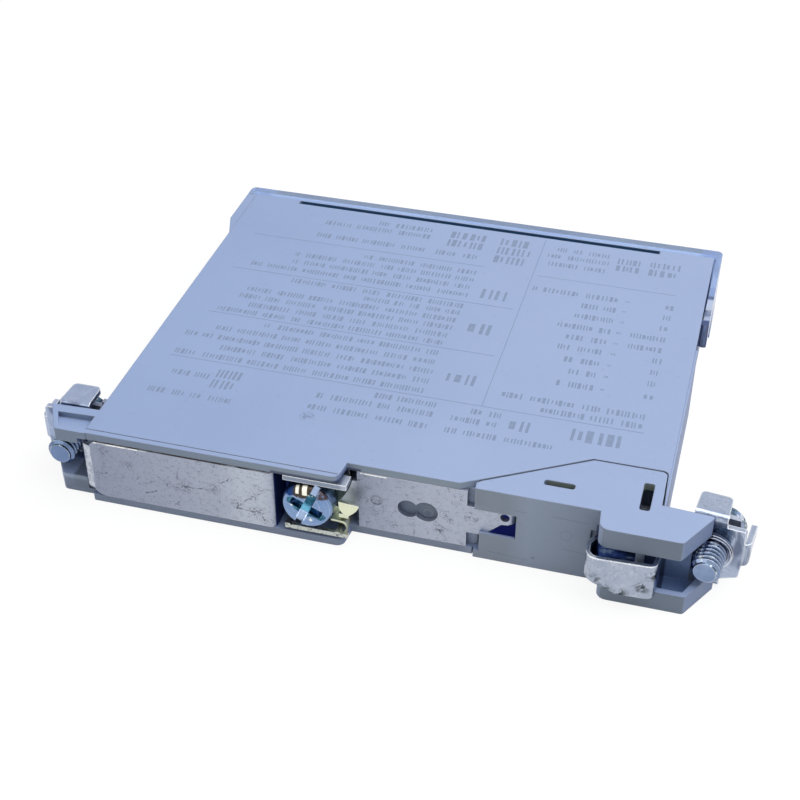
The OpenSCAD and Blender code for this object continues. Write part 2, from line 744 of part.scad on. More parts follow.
function foot_points(near, start, over) = [[foot_left_x, near, 0], [jaw_x - 0.2 + start, near, 0],
    [jaw_x + 0.1 + start, jaw_near_y, 1.4], [arm_tip_x - tip_slant + over, jaw_near_y, 0.6],
    [arm_tip_x + over, arm_far_y - 0.45, 0.3], [foot_right_x, arm_far_y, 0],
    [foot_right_x - 0.1, foot_top_y, 0.8], [foot_slant_x, foot_top_y, 0],
    [foot_left_x + 0.6, seat_y + 1.3, 0.3], [foot_left_x - 0.1, seat_y + 0.7, 0]];
foot_outline = rounded(foot_points(web_y, 0, 0));
low_foot_outline = rounded(foot_points(seat_y, low_jaw_start, low_jaw_over));

// A slot in the upper side, with rounded corners
module slot(x0, x1, y0, y1, low) {
    plate(rounded([[x0, y0, 0.35], [x1, y0, 0.35], [x1, y1, 0.35], [x0, y1, 0.35]]), low, body_t + 1);
}

module rail_foot() {
    tray_right_x = arm_tip_x - tip_slant + low_jaw_over - 0.4;
    color(plastic) place() difference() {
        union() {
            plate(low_foot_outline, 0, foot_plate_t);
            plate(foot_outline, body_t - foot_plate_t, body_t);
            intersection() {
                plate(foot_outline, 0, body_t);
                union() {
                    block(foot_left_x - 1, jaw_x - 0.15, web_y, web_y + web_t, 0, body_t);
                    block(jaw_x - 1.4, arm_tip_x + 1, -1, arm_far_y + 1, body_t - jaw_t, body_t);
                    block(jaw_x - 1.4, arm_tip_x - 2.25, back_wall_y, back_wall_y + back_wall_t,
                        0, body_t);
                }
            }
            difference() {
                intersection() {
                    plate(low_foot_outline, 0, jaw_t);
                    block(jaw_x - 1.4, arm_tip_x + 3, -1, arm_far_y + 1, 0, jaw_t);
                }
                plate([[jaw_x + 2.3, jaw_near_y + tray_rim], [tray_right_x, jaw_near_y + tray_rim],
                    [tray_right_x + 1.95, back_wall_y], [jaw_x + 2.3, back_wall_y]],
                    tray_floor, body_t);
            }
            translate([post_x, 0.4, 0]) cylinder(h = body_t - 1, r = post_r);
        }
        block(foot_left_x - 1, foot_left_x + window_l, 0, web_y + web_t + 1,
            mid_z - window_half + window_ledge, mid_z + window_half);
        block(foot_left_x - 1, foot_left_x + window_l, seat_y - run_gap, web_y + web_t + 1,
            mid_z - window_half, mid_z);
        block(foot_left_x - 1, foot_left_x + 0.75, 0, web_y + web_t + 1, foot_plate_t,
            mid_z);
        slot(jaw_x - 8.3, jaw_x - 4.2, seat_y + 2.7, seat_y + 3.75, body_t - 2);
        slot(body_l - 2.9, body_l - 1.5, seat_y + 1.1, seat_y + 6.6, body_t - 3.2);
        block(jaw_x - 1.2, jaw_x + 1.5, web_y - 1, clip_back_y + clip_t + 0.3, clip_low + 0.35,
            clip_high + 0.3);
    }
}

// The bent strip that gives way as the rail is pushed in
module latch_clip() {
    h = clip_t / 2;
    nose_x = jaw_x - clip_nose;
    loop = [[jaw_x + 6.2, clip_back_y, 0], [jaw_x - 0.25, clip_back_y, 0.9],
        [nose_x + h, 0.9, 1.1], [jaw_x - 0.9, -clip_out + h, 1.3],
        [clip_right_x - h - 0.3, -clip_out + h + 0.35, 0.9],
        [clip_right_x - h, clip_back_y - 0.7, 0]];
    color(tin) place() difference() {
        plate(sheet_outline(loop, clip_t), clip_low, clip_high);
        block(jaw_x - 3, clip_right_x + 1, jaw_near_y - 0.05, 6, 0, jaw_t + 0.2);
        upright([[nose_x - 1, clip_low - 1], [nose_x - 1, 5.4], [nose_x + 0.7, 4.3],
            [nose_x + 3.4, 3.3], [nose_x + 4.7, clip_low - 0.1], [nose_x + 4.7, clip_low - 1]],
            -clip_out - 1, 4);
    }
}

// Clamps, in the frame of their own screw: X points away from the housing

module clamp_yoke() {
    far = yoke_near + yoke_tab_l;
    half = mid_z - yoke_edge;
    difference() {
        union() {
            upright(rounded([[-yoke_in, -half, 0], [yoke_neck_out + tab_flare, -half, 0],
                [yoke_neck_out + tab_flare, -yoke_low, 0],
                [yoke_plate_out - 0.15, 1.05 - yoke_low, 0.4], [yoke_plate_out, -blade_low, 0],
                [yoke_plate_out, yoke_high, 0.4], [yoke_neck_out + tab_flare, yoke_high, 0],
                [yoke_neck_out + tab_flare, half, 0], [-yoke_in, half, 0]]),
                yoke_near, yoke_near + yoke_t);
            for (s = [-1, 1]) {
                yoke_tab(s, half, far);
            }
            yoke_blade();
            rod(0, 0, yoke_near - collar_l, yoke_near + eps, screw_d / 2 + 0.6);
        }
        rod(0, 0, -1, 15, screw_d / 2 + run_gap);
        for (s = [-1, 1]) {
            yoke_bend(s, half);
        }
    }
}

// The blade that turns back at the outer edge of the plate and narrows from below
module yoke_blade() {
    out = yoke_out - yoke_t / 2;
    near = yoke_near + yoke_t / 2;
    far = yoke_near + blade_l;
    bent = [[screw_d / 2 + 0.8, near, 0], [out, near, 0.6], [out, far, 0]];
    intersection() {
        plate(sheet_outline(bent, yoke_t), -blade_high - 1, blade_high + 1);
        rotate([0, 90, 0]) linear_extrude(height = 10) polygon(rounded([[-blade_high, 0, 0],
            [blade_low, 0, 0], [blade_low, yoke_near + 0.3, 0], [0, yoke_near + 2.6, 0],
            [-0.25 * blade_high, far, 0.8], [-blade_high, far, 0.7]]));
    }
}

// One of the two tabs that turn back from the plate, with rounded corners
module yoke_tab(s, half, far) {
    outline = rounded([[-yoke_in, yoke_near, 0], [yoke_neck_out + tab_flare, yoke_near, 0],
        [yoke_neck_out, far, 0.7], [-yoke_in, far, 0.7]]);
    plate(outline, s > 0 ? half - yoke_t : -half, s > 0 ? half : yoke_t - half);
}

// Rounds the outer edge of the bend between the plate and a tab
module yoke_bend(s, half) {
    r = yoke_t;
    difference() {
        block(-yoke_in - 1, yoke_out + 1, yoke_near - 1, yoke_near + r,
            s > 0 ? half - r : -half - 1, s > 0 ? half + 1 : r - half);
        translate([-yoke_in - 2, yoke_near + r, s * (half - r)]) rotate([0, 90, 0])
            cylinder(h = yoke_in + yoke_out + 4, r = r);
    }
}

// Half of the outline of a threaded shank, as rings of one pitch each
function thread_outline(r, pitch, near, far) =
    let(core = r - thread_share * pitch, rings = floor((far - near) / pitch))
    concat([[0, 0], [core - 0.1, 0]], [for (i = [0:rings - 1])
        let(y = near + i * pitch) each [[core, y], [r, y + 0.4 * pitch], [r, y + 0.6 * pitch]]],
        [[core, near + rings * pitch], [core, far], [0, far]]);

module clamp_screw() {
    tip = 0.25;
    far = head_near + head_l;
    difference() {
        rotate([-90, 0, 0]) union() {
            rotate_extrude() polygon(thread_outline(screw_d / 2, thread_pitch, tip,
                head_near + eps));
            translate([0, 0, head_near]) cylinder(h = head_l, r = clamp_head_d / 2);
        }
        block(-clamp_head_d, clamp_head_d, far - slot_deep, far + 1, -slot_w / 2, slot_w / 2);
    }
}

module left_clamp_yoke() {
    color(steel) place() left_clamp() clamp_yoke();
}

module left_clamp_screw() {
    color(steel) place() left_clamp() clamp_screw();
}

module right_clamp_yoke() {
    color(steel) place() right_clamp() clamp_yoke();
}

module right_clamp_screw() {
    color(steel) place() right_clamp() clamp_screw();
}

// Front

module label_carrier() {
    color([0.72, 0.76, 0.84]) place() difference() {
        block(0.5, body_l - 0.5, body_d + run_gap, body_d + run_gap + carrier_t, carrier_z,
            body_t - carrier_z);
        terminal_spots() rod(0, 0, body_d - 1, total_d, terminal_head_d / 2 - driver_lip);
    }
}

module label_strip() {
    y = body_d + run_gap + carrier_t;
    color([0.95, 0.95, 0.93]) place()
        block(cavity_x + 1, body_l - cavity_x - 1, y, y + label_t, carrier_z + 0.6,
            body_t - carrier_z - 0.6);
}

module front_cover() {
    color(clear) place() difference() {
        union() {
            plate(rounded([[cover_left_x, total_d, 0.9], [cover_left_x, cover_start_y, 0],
                [cover_left_x + cover_t, cover_start_y, 0],
                [cover_left_x + cover_t, total_d - cover_t, 0],
                [cover_right_x - cover_t, total_d - cover_t, 0],
                [cover_right_x - cover_t, pivot_y - leg_below, 0],
                [cover_right_x, pivot_y - leg_below, 0.4], [cover_right_x, total_d, 0.9]]),
                cover_z, body_t - cover_z);
            mirror_z() block(cover_left_x + 0.4, cover_right_x - 0.4, cover_start_y,
                total_d - cover_t + eps, cover_z, cover_z + cover_flange);
            translate([pivot_x, pivot_y, leg_low_z])
                cylinder(h = top_z - leg_low_z - slip_gap, r = eye_r);
            block(pivot_x, cover_right_x - eps, pivot_y - 0.7, pivot_y + 0.7, leg_low_z,
                top_z - slip_gap);
        }
        block(body_l - 2, cover_right_x + 1, pivot_y - 3, pivot_y + 12, -1, leg_low_z);
        block(body_l - 2, cover_right_x + 1, pivot_y - 3, pivot_y + 2, top_z - slip_gap,
            body_t + 1);
        translate([pivot_x, pivot_y, 0]) cylinder(h = body_t, r = pivot_r + run_gap);
    }
}

module cover_pin() {
    color(steel) place() translate([pivot_x, pivot_y, side_t])
        cylinder(h = top_z - side_t, r = pivot_r);
}

housing();
side_cover();
potting_block();
circuit_board();
fuse();
zener_diode(1);  // zener_diode_1
zener_diode(2);  // zener_diode_2
zener_diode(3);  // zener_diode_3
resistor(1);  // resistor_1
resistor(2);  // resistor_2
terminal_bar(1);  // terminal_bar_1
terminal_bar(2);  // terminal_bar_2
terminal_bar(3);  // terminal_bar_3
terminal_bar(4);  // terminal_bar_4
terminal_cage(1);  // terminal_cage_1
terminal_cage(2);  // terminal_cage_2
terminal_cage(3);  // terminal_cage_3
terminal_cage(4);  // terminal_cage_4
terminal_screw(1);  // terminal_screw_1
terminal_screw(2);  // terminal_screw_2
terminal_screw(3);  // terminal_screw_3
terminal_screw(4);  // terminal_screw_4
earth_strip();
fixing_frame();
rail_contact_plate();
fixing_screw();
rail_claw();
rail_foot();
latch_clip();
left_clamp_yoke();
left_clamp_screw();
right_clamp_yoke();
right_clamp_screw();
label_carrier();
label_strip();
front_cover();
cover_pin();
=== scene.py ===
"""Looks for the slim rail-mounted safety barrier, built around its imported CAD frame.

The axes are the part's own: X along the base, Y from the rail to the front cover, Z through
the thickness. Objects, lamps and the camera are placed in metres. Places in the materials and
in the print are in millimetres from the housing's near left lower corner.
"""
import json
import random

import bmesh
import bpy
from mathutils import Matrix, Vector


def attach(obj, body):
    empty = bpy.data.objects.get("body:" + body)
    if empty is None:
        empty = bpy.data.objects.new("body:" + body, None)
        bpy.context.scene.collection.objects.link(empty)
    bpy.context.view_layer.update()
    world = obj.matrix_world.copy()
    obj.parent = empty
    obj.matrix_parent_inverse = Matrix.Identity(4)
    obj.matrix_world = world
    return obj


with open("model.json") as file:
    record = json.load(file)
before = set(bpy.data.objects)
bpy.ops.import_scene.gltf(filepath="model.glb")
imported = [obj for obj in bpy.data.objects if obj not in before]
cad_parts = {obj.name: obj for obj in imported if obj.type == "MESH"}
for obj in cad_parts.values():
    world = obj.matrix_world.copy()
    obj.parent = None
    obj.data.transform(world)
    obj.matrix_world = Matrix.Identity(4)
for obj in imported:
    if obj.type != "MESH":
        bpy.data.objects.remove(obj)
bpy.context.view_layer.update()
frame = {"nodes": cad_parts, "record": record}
nodes = frame["nodes"]
scene = bpy.context.scene

MM = 0.001
BODY_L = 78.2
BODY_D = 69.3
TOP = 12.0

# Samples taken for rounded edges, and for the painted shade in pockets.
EDGE_SAMPLES = 4
SHADE_SAMPLES = 6


def at(u, v, w):
    """A point given in millimetres from the housing's near left lower corner."""
    return Vector(((u - BODY_L / 2) * MM, (v - BODY_D / 2) * MM, w * MM))


# Node graphs


class Graph:
    """A material's or world's node tree, with short calls for the nodes used here."""

    def __init__(self, owner):
        owner.use_nodes = True
        self.tree = owner.node_tree
        self.tree.nodes.clear()
        self.place = None

    def add(self, kind, **values):
        n = self.tree.nodes.new("ShaderNode" + kind)
        for key, value in values.items():
            setattr(n, key, value)
        return n

    def put(self, socket, value):
        """Links the value if it is a socket, and sets it otherwise."""
        if isinstance(value, bpy.types.NodeSocket):
            self.tree.links.new(value, socket)
        elif isinstance(value, (tuple, list)) and len(value) == 3 and socket.type == "RGBA":
            socket.default_value = (*value, 1)
        else:
            socket.default_value = value

    def coords(self):
        """Millimetres from the housing's near left lower corner, fixed to the piece."""
        if not self.place:
            n = self.add("Mapping")
            self.put(n.inputs["Vector"], self.add("TexCoord").outputs["Object"])
            n.inputs["Scale"].default_value = (1 / MM, 1 / MM, 1 / MM)
            n.inputs["Location"].default_value = (BODY_L / 2, BODY_D / 2, 0)
            self.place = n.outputs[0]
        return self.place

    def axis(self, name):
        n = self.add("SeparateXYZ")
        self.put(n.inputs[0], self.coords())
        return n.outputs[name]

    def stretched(self, scale=(1, 1, 1), shift=(0, 0, 0)):
        n = self.add("Mapping")
        self.put(n.inputs["Vector"], self.coords())
        n.inputs["Scale"].default_value = scale
        n.inputs["Location"].default_value = shift
        return n.outputs[0]

    def warped(self, scale, amount):
        """The coordinates pushed about by noise, for lines that wander."""
        n = self.add("TexNoise")
        self.put(n.inputs["Vector"], self.coords())
        n.inputs["Scale"].default_value = scale
        push = self.add("VectorMath", operation="MULTIPLY_ADD")
        self.put(push.inputs[0], n.outputs["Color"])
        push.inputs[1].default_value = (amount, amount, amount)
        back = self.vec("SUBTRACT", self.coords(), (amount / 2, amount / 2, amount / 2))
        self.put(push.inputs[2], back)
        return push.outputs[0]

    def noise(self, scale, detail=3, rough=0.6, distortion=0.0, vector=None):
        n = self.add("TexNoise")
        self.put(n.inputs["Vector"], vector or self.coords())
        n.inputs["Scale"].default_value = scale
        n.inputs["Detail"].default_value = detail
        n.inputs["Roughness"].default_value = rough
        n.inputs["Distortion"].default_value = distortion
        return n.outputs[0]

    def cell_edges(self, scale, vector, width):
        """1 on the borders of random cells, 0 away from them."""
        n = self.add("TexVoronoi", feature="DISTANCE_TO_EDGE")
        self.put(n.inputs["Vector"], vector)
        n.inputs["Scale"].default_value = scale
        return self.span(n.outputs[0], 0.0, width, 1.0, 0.0)

    def math(self, op, a, b=0.0, c=0.0):
        n = self.add("Math", operation=op)
        for socket, value in zip(n.inputs, (a, b, c)):
            self.put(socket, value)
        return n.outputs[0]

    def span(self, value, low, high, to_low=0.0, to_high=1.0):
        """Maps low to to_low and high to to_high, and stays there beyond them."""
        n = self.add("MapRange")
        n.clamp = True
        for key, x in zip(("Value", "From Min", "From Max", "To Min", "To Max"),
                          (value, low, high, to_low, to_high)):
            self.put(n.inputs[key], x)
        return n.outputs[0]

    def within(self, value, rise, fall):
        """1 between two limits, each given as the place where it is 0 and the place where it is 1."""
        return self.times(self.span(value, *rise), self.span(value, *fall))

    def patches(self, scale, low, high, to_low=0.0, to_high=1.0, **how):
        """Noise cut to soft patches: to_low where it is under low, to_high where it is over high."""
        return self.span(self.noise(scale, **how), low, high, to_low, to_high)

    def uneven(self, scale, low, high, **how):
        """A number that drifts between two values."""
        return self.patches(scale, 0.3, 0.7, low, high, **how)

    def mottled(self, scale, low, high, **how):
        """A colour that drifts between two tones."""
        return self.mix(self.patches(scale, 0.3, 0.7, **how), low, high)

    def mix(self, factor, a, b, blend="MIX"):
        n = self.add("Mix", data_type="RGBA", blend_type=blend)
        self.put(n.inputs[0], factor)
        self.put(n.inputs[6], a)
        self.put(n.inputs[7], b)
        return n.outputs[2]

    def paint(self, tone, mask, colour):
        """Lays a colour over the tone where the mask is 1."""
        return self.mix(mask, tone, colour)

    def shade(self, tone, mask, factor):
        """Multiplies the tone by a colour where the mask is 1."""
        return self.mix(mask, tone, factor, "MULTIPLY")

    def vec(self, op, a, b=(0, 0, 0)):
        n = self.add("VectorMath", operation=op)
        self.put(n.inputs[0], a)
        self.put(n.inputs[1], b)
        return n.outputs["Value"] if op in ("DISTANCE", "DOT_PRODUCT") else n.outputs[0]

    def bump(self, height, strength, distance, normal=None):
        n = self.add("Bump")
        n.inputs["Strength"].default_value = strength
        n.inputs["Distance"].default_value = distance
        self.put(n.inputs["Height"], height)
        if normal:
            self.put(n.inputs["Normal"], normal)
        return n.outputs[0]

    def soft_edges(self, radius):
        """Rounds the look of edges; the radius is in millimetres."""
        n = self.add("Bevel", samples=EDGE_SAMPLES)
        n.inputs["Radius"].default_value = radius * MM
        return n.outputs[0]

    def edge_wear_and_highlight(self, radius):
        """1 along outer edges and 0 on flat faces; it marks wear and painted highlights there."""
        plain = self.add("NewGeometry").outputs["Normal"]
        same = self.vec("DOT_PRODUCT", self.soft_edges(radius), plain)
        return self.span(same, 0.995, 0.90)

    def depth(self, reach, full=0.05, none=0.35):
        """1 deep in narrow pockets, 0 on open faces, for painted shade there; the reach is in millimetres.
        """
        n = self.add("AmbientOcclusion", samples=SHADE_SAMPLES)
        n.inputs["Distance"].default_value = reach * MM
        return self.span(n.outputs["AO"], full, none, 1.0, 0.0)

    def spot(self, centre, radius, soft=0.5):
        """1 inside a ball round a point, falling to 0 at its edge."""
        d = self.vec("DISTANCE", self.coords(), centre)
        return self.span(d, radius, radius * (1 - soft))

    def spots(self, table, soft=0.5):
        return self.highest(*[self.spot(centre, radius, soft) for centre, radius in table])

    def zone(self, low, high, soft=0.2):
        """1 inside a box given by two corners, fading out over the soft distance."""
        inside = 1.0
        for name, a, b in zip("XYZ", low, high):
            x = self.axis(name)
            inside = self.times(inside, self.span(x, a - soft, a), self.span(x, b + soft, b))
        return inside

    def facing(self, name, sign=1):
        """1 on faces that point along the named axis, 0 on the others."""
        n = self.add("SeparateXYZ")
        self.put(n.inputs[0], self.add("NewGeometry").outputs["Normal"])
        return self.span(self.math("MULTIPLY", n.outputs[name], sign), 0.6, 0.9)

    def line(self, ends, width, vector=None):
        """1 along a straight line between two points."""
        a, b = (Vector(e) for e in ends)
        length = (b - a).length
        along = (b - a).normalized()
        off = self.vec("SUBTRACT", vector or self.coords(), tuple(a))
        far = self.vec("DOT_PRODUCT", off, tuple(along))
        step = self.add("VectorMath", operation="SCALE")
        step.inputs[0].default_value = tuple(along)
        self.put(step.inputs["Scale"], self.span(far, 0, length, 0, length))
        return self.span(self.vec("DISTANCE", off, step.outputs[0]), width, width * 0.4)

    def lines(self, table, vector=None):
        return self.highest(*[self.line(ends, width, vector) for ends, width in table])

    def ring(self, centre, radius, width):
        d = self.vec("DISTANCE", self.coords(), centre)
        off = self.math("ABSOLUTE", self.math("SUBTRACT", d, radius))
        return self.span(off, width, width * 0.3)

    def highest(self, *values):
        top = values[0]
        for v in values[1:]:
            top = self.math("MAXIMUM", top, v)
        return top

    def times(self, *values):
        product = values[0]
        for v in values[1:]:
            product = self.math("MULTIPLY", product, v)
        return product

    def seen(self):
        """1 for rays that show a background to the camera, also off metal and through glass."""
        path = self.add("LightPath")
        return self.highest(path.outputs["Is Camera Ray"], path.outputs["Is Glossy Ray"],
                            path.outputs["Is Transmission Ray"])

    def coloured(self, kind, colour, **values):
        """A plain shader of one colour."""
        n = self.add(kind)
        self.put(n.inputs["Color"], colour)
        for key, value in values.items():
            self.put(n.inputs[key], value)
        return n

    def principled(self, **values):
        n = self.add("BsdfPrincipled")
        for key, value in values.items():
            self.put(n.inputs[key.replace("_", " ")], value)
        return n

    def blend(self, factor, a, b):
        """The first shader where the factor is 0, the second where it is 1."""
        n = self.add("MixShader")
        self.put(n.inputs[0], factor)
        self.put(n.inputs[1], a.outputs[0])
        self.put(n.inputs[2], b.outputs[0])
        return n

    def finish(self, shader, world=False):
        out = self.add("OutputWorld" if world else "OutputMaterial")
        self.tree.links.new(shader.outputs[0], out.inputs["Surface"])


def new_material(name):
    m = bpy.data.materials.new(name)
    return m, Graph(m)


# Grey plastic of the housing, the side cover and the foot

# Navy of the painted shade in pockets.
NAVY = (0.010, 0.022, 0.085)

# Distance of the foot's front face from the base.
FOOT_FACE = 2.95

# A smudge and two dots of dirt: centre, then radius.
SMUDGE = ((28.3, 11.7, TOP), 1.3)
DIRT_DOTS = (((31.1, 0.75, TOP), 0.22), ((62.4, FOOT_FACE, 1.76), 0.3))

# Faint lines left by the mould on the foot's front face: ends, then width.
MOULD_LINES = (
    (((59.7, FOOT_FACE, 9.41), (61.1, FOOT_FACE, 9.38)), 0.10),
    (((64.6, FOOT_FACE, 9.53), (69.2, FOOT_FACE, 9.42)), 0.10),
    (((66.3, FOOT_FACE, 4.34), (69.4, FOOT_FACE, 4.03)), 0.10),
    (((56.2, FOOT_FACE, 1.47), (61.6, FOOT_FACE, 1.2)), 0.10),
)
EJECTOR_MARK = (66.5, FOOT_FACE, 6.69)
BOSS = (47.6, 4.3, 5.06)

# Boxes in which light or shade is painted on the plastic: low corner, high corner.
JAW_INSIDE = ((75.0, 2.4, 1.25), (82.7, 9.5, 9.6))
SCREW_POCKET = ((27.0, -1.0, 1.5), (38.4, 9.0, 11.2))
CLIP_POCKET = ((70.5, 2.4, 0.8), (79.5, 12.0, 9.5))
FOOT_WINDOW = ((55.5, 4.1, 0.6), (59.6, 9.0, 11.2))
HOLE_FLOOR = ((42.0, 4.05, 2.5), (50.5, 5.2, 8.0))
LEFT_EAR = ((-3.0, 1.5, 1.0), (1.0, 8.0, 6.5))
FOOT_SLOTS = (((62.9, 5.4, 4.0), (66.8, 9.6, 11.9)), ((74.3, 8.2, 4.0), (77.0, 14.5, 11.9)))

# Fades of the painted shade on the front faces, each from where a tone isn't seen to where it is full.
FOOT_TONE = (50, 55)
UPPER_BAND = (9.0, 9.5)
BAND_END = (56, 52)
BAND_LEFT = (24, 8)
LOW_WALL = (2.4, 2.0)
WALL_END = (54, 52)
TOWARDS_JAW = (60, 76)
BESIDE_WINDOW = ((54.0, 54.5), (61.5, 58.5))

# The slot along the front, painted in shade: its limits along the base and out from it, and its depth.
FRONT_SLOT_ALONG = ((8.0, 8.1), (69.6, 69.5))
FRONT_SLOT_OUT = ((68.02, 68.08), (69.05, 69.0))
FRONT_SLOT_DEPTH = (11.97, 11.85)


def grey_base(g, grain):
    """The moulded colour with its grain, specks and the few places of dirt on it, with painted shade darker
    towards the left.
    """
    tone = g.mottled(0.035, (0.325, 0.412, 0.630), (0.350, 0.442, 0.672))
    # Painted shade: the plastic darkens towards the left, where less light falls.
    tone = g.shade(tone, g.span(g.axis("X"), 50, 4), (0.90, 0.93, 0.97))
    tone = g.paint(tone, g.span(grain, 0.35, 0.65, 0.0, 0.05), (0.22, 0.29, 0.45))
    specks = g.patches(1.1, 0.72, 0.76, detail=1, rough=0.4)
    tone = g.paint(tone, g.times(specks, 0.15), (0.20, 0.25, 0.36))
    smudge = g.times(g.spot(*SMUDGE), g.patches(2.2, 0.46, 0.60))
    dirt = g.highest(smudge, g.spots(DIRT_DOTS))
    return g.paint(tone, g.times(dirt, 0.5), (0.10, 0.14, 0.26))


def grey_faces(g, tone):
    """Painted shade: faces towards the rail are greyer than the large side and darker to the right, and the
    faces at the right end are darker still.
    """
    along, up = g.axis("X"), g.axis("Z")
    front = g.facing("Y", -1)
    front_shade_tone = g.mix(g.span(along, *FOOT_TONE), (1.03, 1.0, 0.89), (0.84, 0.82, 0.74))
    tone = g.shade(tone, front, front_shade_tone)
    band = g.times(front, g.span(up, *UPPER_BAND), g.span(along, *BAND_END))
    tone = g.shade(tone, band, (0.72, 0.73, 0.70))
    tone = g.shade(tone, g.times(front, g.span(along, *TOWARDS_JAW)), (0.58, 0.60, 0.60))
    low_wall = g.times(front, g.span(up, *LOW_WALL), g.span(along, *WALL_END))
    tone = g.shade(tone, low_wall, (0.60, 0.61, 0.64))
    tone = g.shade(tone, g.times(band, g.span(along, *BAND_LEFT)), (0.88, 0.90, 0.96))
    beside_window = g.times(front, g.within(along, *BESIDE_WINDOW))
    tone = g.shade(tone, beside_window, (0.84, 0.81, 0.77))
    return g.shade(tone, g.facing("X"), (0.50, 0.53, 0.60))


def grey_pockets(g, tone):
    """Painted light and shade in the jaw, the mould's marks, edges lightened partly as wear and partly as
    painted highlight, painted shade in the pockets, and the foot's window painted blue as shade.
    """
    # Painted light and shade in the jaw: its upright walls lightened and blued, its floor darkened.
    jaw = g.zone(*JAW_INSIDE, 0.1)
    tone = g.shade(tone, jaw, g.mix(g.facing("Z"), (1.35, 1.60, 2.00), (0.50, 0.74, 1.00)))
    ejector = g.times(g.ring(EJECTOR_MARK, 0.75, 0.12), 0.6)
    mould = g.highest(g.lines(MOULD_LINES), ejector)
    tone = g.paint(tone, g.times(mould, 0.28), (0.06, 0.08, 0.13))
    # Edges lightened, partly as wear and partly as painted highlight.
    tone = g.paint(tone, g.times(g.edge_wear_and_highlight(0.3), 0.22), (0.55, 0.62, 0.78))
    # Painted shade deep in narrow pockets, less of it in the jaw.
    shade_in_pockets = g.depth(3.0)
    tone = g.paint(tone, g.times(shade_in_pockets, g.span(jaw, 0, 1, 0.62, 0.10)), (0.030, 0.045, 0.090))
    # Painted shade in navy over the fixing screw's and the clip's pockets.
    dark = g.highest(g.zone(*SCREW_POCKET), g.zone(*CLIP_POCKET))
    tone = g.paint(tone, g.times(dark, g.span(shade_in_pockets, 0.0, 0.5, 0.80, 1.0)), NAVY)
    # Painted shade: the inside of the foot's window is laid in a strong blue, which renders as the deep blue
    # of its shade.
    return g.paint(tone, g.zone(*FOOT_WINDOW, 0.1), (0.12, 0.19, 0.95))


def grey_openings(g, tone):
    """The floor of the figure-eight hole with its boss, the left ear, and the slots, with painted shade in
    them and painted light deep in the foot's slots.
    """
    along, out, up = g.axis("X"), g.axis("Y"), g.axis("Z")
    # Painted shade on the floor of the figure-eight hole.
    tone = g.shade(tone, g.zone(*HOLE_FLOOR), (0.38, 0.40, 0.43))
    boss = g.highest(g.ring(BOSS, 0.62, 0.2), g.times(g.ring(BOSS, 1.1, 0.2), 0.5))
    tone = g.paint(tone, g.times(boss, 0.5), (0.26, 0.30, 0.36))
    # Painted shade in the left ear's pocket.
    tone = g.paint(tone, g.times(g.zone(*LEFT_EAR, 0.5), 0.65), (0.060, 0.082, 0.090))
    # Painted light and shade in the foot's slots: dark near the top, light deep down where shade falls.
    slots = g.highest(*[g.zone(*corners, 0.06) for corners in FOOT_SLOTS])
    slot_tone = g.mix(g.span(up, 10.5, 8.0), (0.26, 0.31, 0.30), (0.66, 0.78, 0.95))
    tone = g.paint(tone, slots, slot_tone)
    # Painted shade along the front slot: on its walls, and as a dark line on the top face beside it.
    front_slot = g.times(g.within(out, *FRONT_SLOT_OUT), g.within(along, *FRONT_SLOT_ALONG))
    front_shade_tone = g.mix(g.span(up, *FRONT_SLOT_DEPTH), (0.007, 0.026, 0.070), (0.030, 0.120, 0.280))
    return g.paint(tone, front_slot, front_shade_tone)


def grey_plastic():
    m, g = new_material("grey_plastic")
    grain = g.noise(2.6, detail=2)
    tone = grey_base(g, grain)
    for step in (grey_faces, grey_pockets, grey_openings):
        tone = step(g, tone)
    normal = g.bump(grain, 0.12, 0.00004, g.soft_edges(0.26))
    g.finish(g.principled(Base_Color=tone, Roughness=g.uneven(0.4, 0.46, 0.58), Normal=normal))
    return m


# Tinned sheet of the earth strip and the rail contact plate

# Colour of the painted highlights on the sheet's rims.
RIM_HIGHLIGHT = (0.90, 0.91, 0.90)

# Places of dirt on the strips: centre, then radius.
STRIP_DIRT = (
    ((2.6, 0.0, 9.3), 1.1), ((6.2, 0.0, 7.6), 1.0), ((11.7, 0.0, 5.6), 0.9), ((14.3, 0.0, 5.6), 1.5),
    ((13.0, 0.0, 5.0), 0.9), ((25.1, 0.0, 3.6), 1.1), ((25.7, 0.0, 2.1), 0.8), ((25.5, 0.0, 7.5), 0.7),
    ((18.6, 0.0, 6.2), 1.3), ((21.6, 0.0, 4.4), 1.1), ((24.2, 0.0, 5.9), 1.0), ((24.3, 0.0, 3.4), 1.4),
    ((24.7, 0.0, 7.9), 0.7), ((36.7, 3.4, 8.3), 0.5), ((40.7, 3.4, 6.5), 0.8), ((43.0, 3.4, 2.6), 0.8),
    ((49.5, 3.4, 3.2), 1.2), ((50.8, 3.4, 5.2), 0.7), ((52.6, 3.4, 1.5), 0.4),
)

# Cracks in the left strip: ends, then width.
STRIP_CRACKS = (
    (((21.5, 0.0, 8.95), (18.3, 0.0, 5.9)), 0.15), (((18.3, 0.0, 5.9), (19.4, 0.0, 3.7)), 0.15),
    (((18.3, 0.0, 5.9), (14.3, 0.0, 5.6)), 0.15), (((21.6, 0.0, 3.5), (23.3, 0.0, 5.3)), 0.15),
    (((21.6, 0.0, 3.5), (25.0, 0.0, 3.5)), 0.15), (((25.0, 0.0, 3.6), (25.7, 0.0, 2.1)), 0.15),
    (((23.3, 0.0, 5.3), (25.4, 0.0, 6.9)), 0.15), (((8.2, 0.0, 3.1), (9.8, 0.0, 3.8)), 0.15),
)
ROUND_MARK = (40.6, 3.45, 6.43)

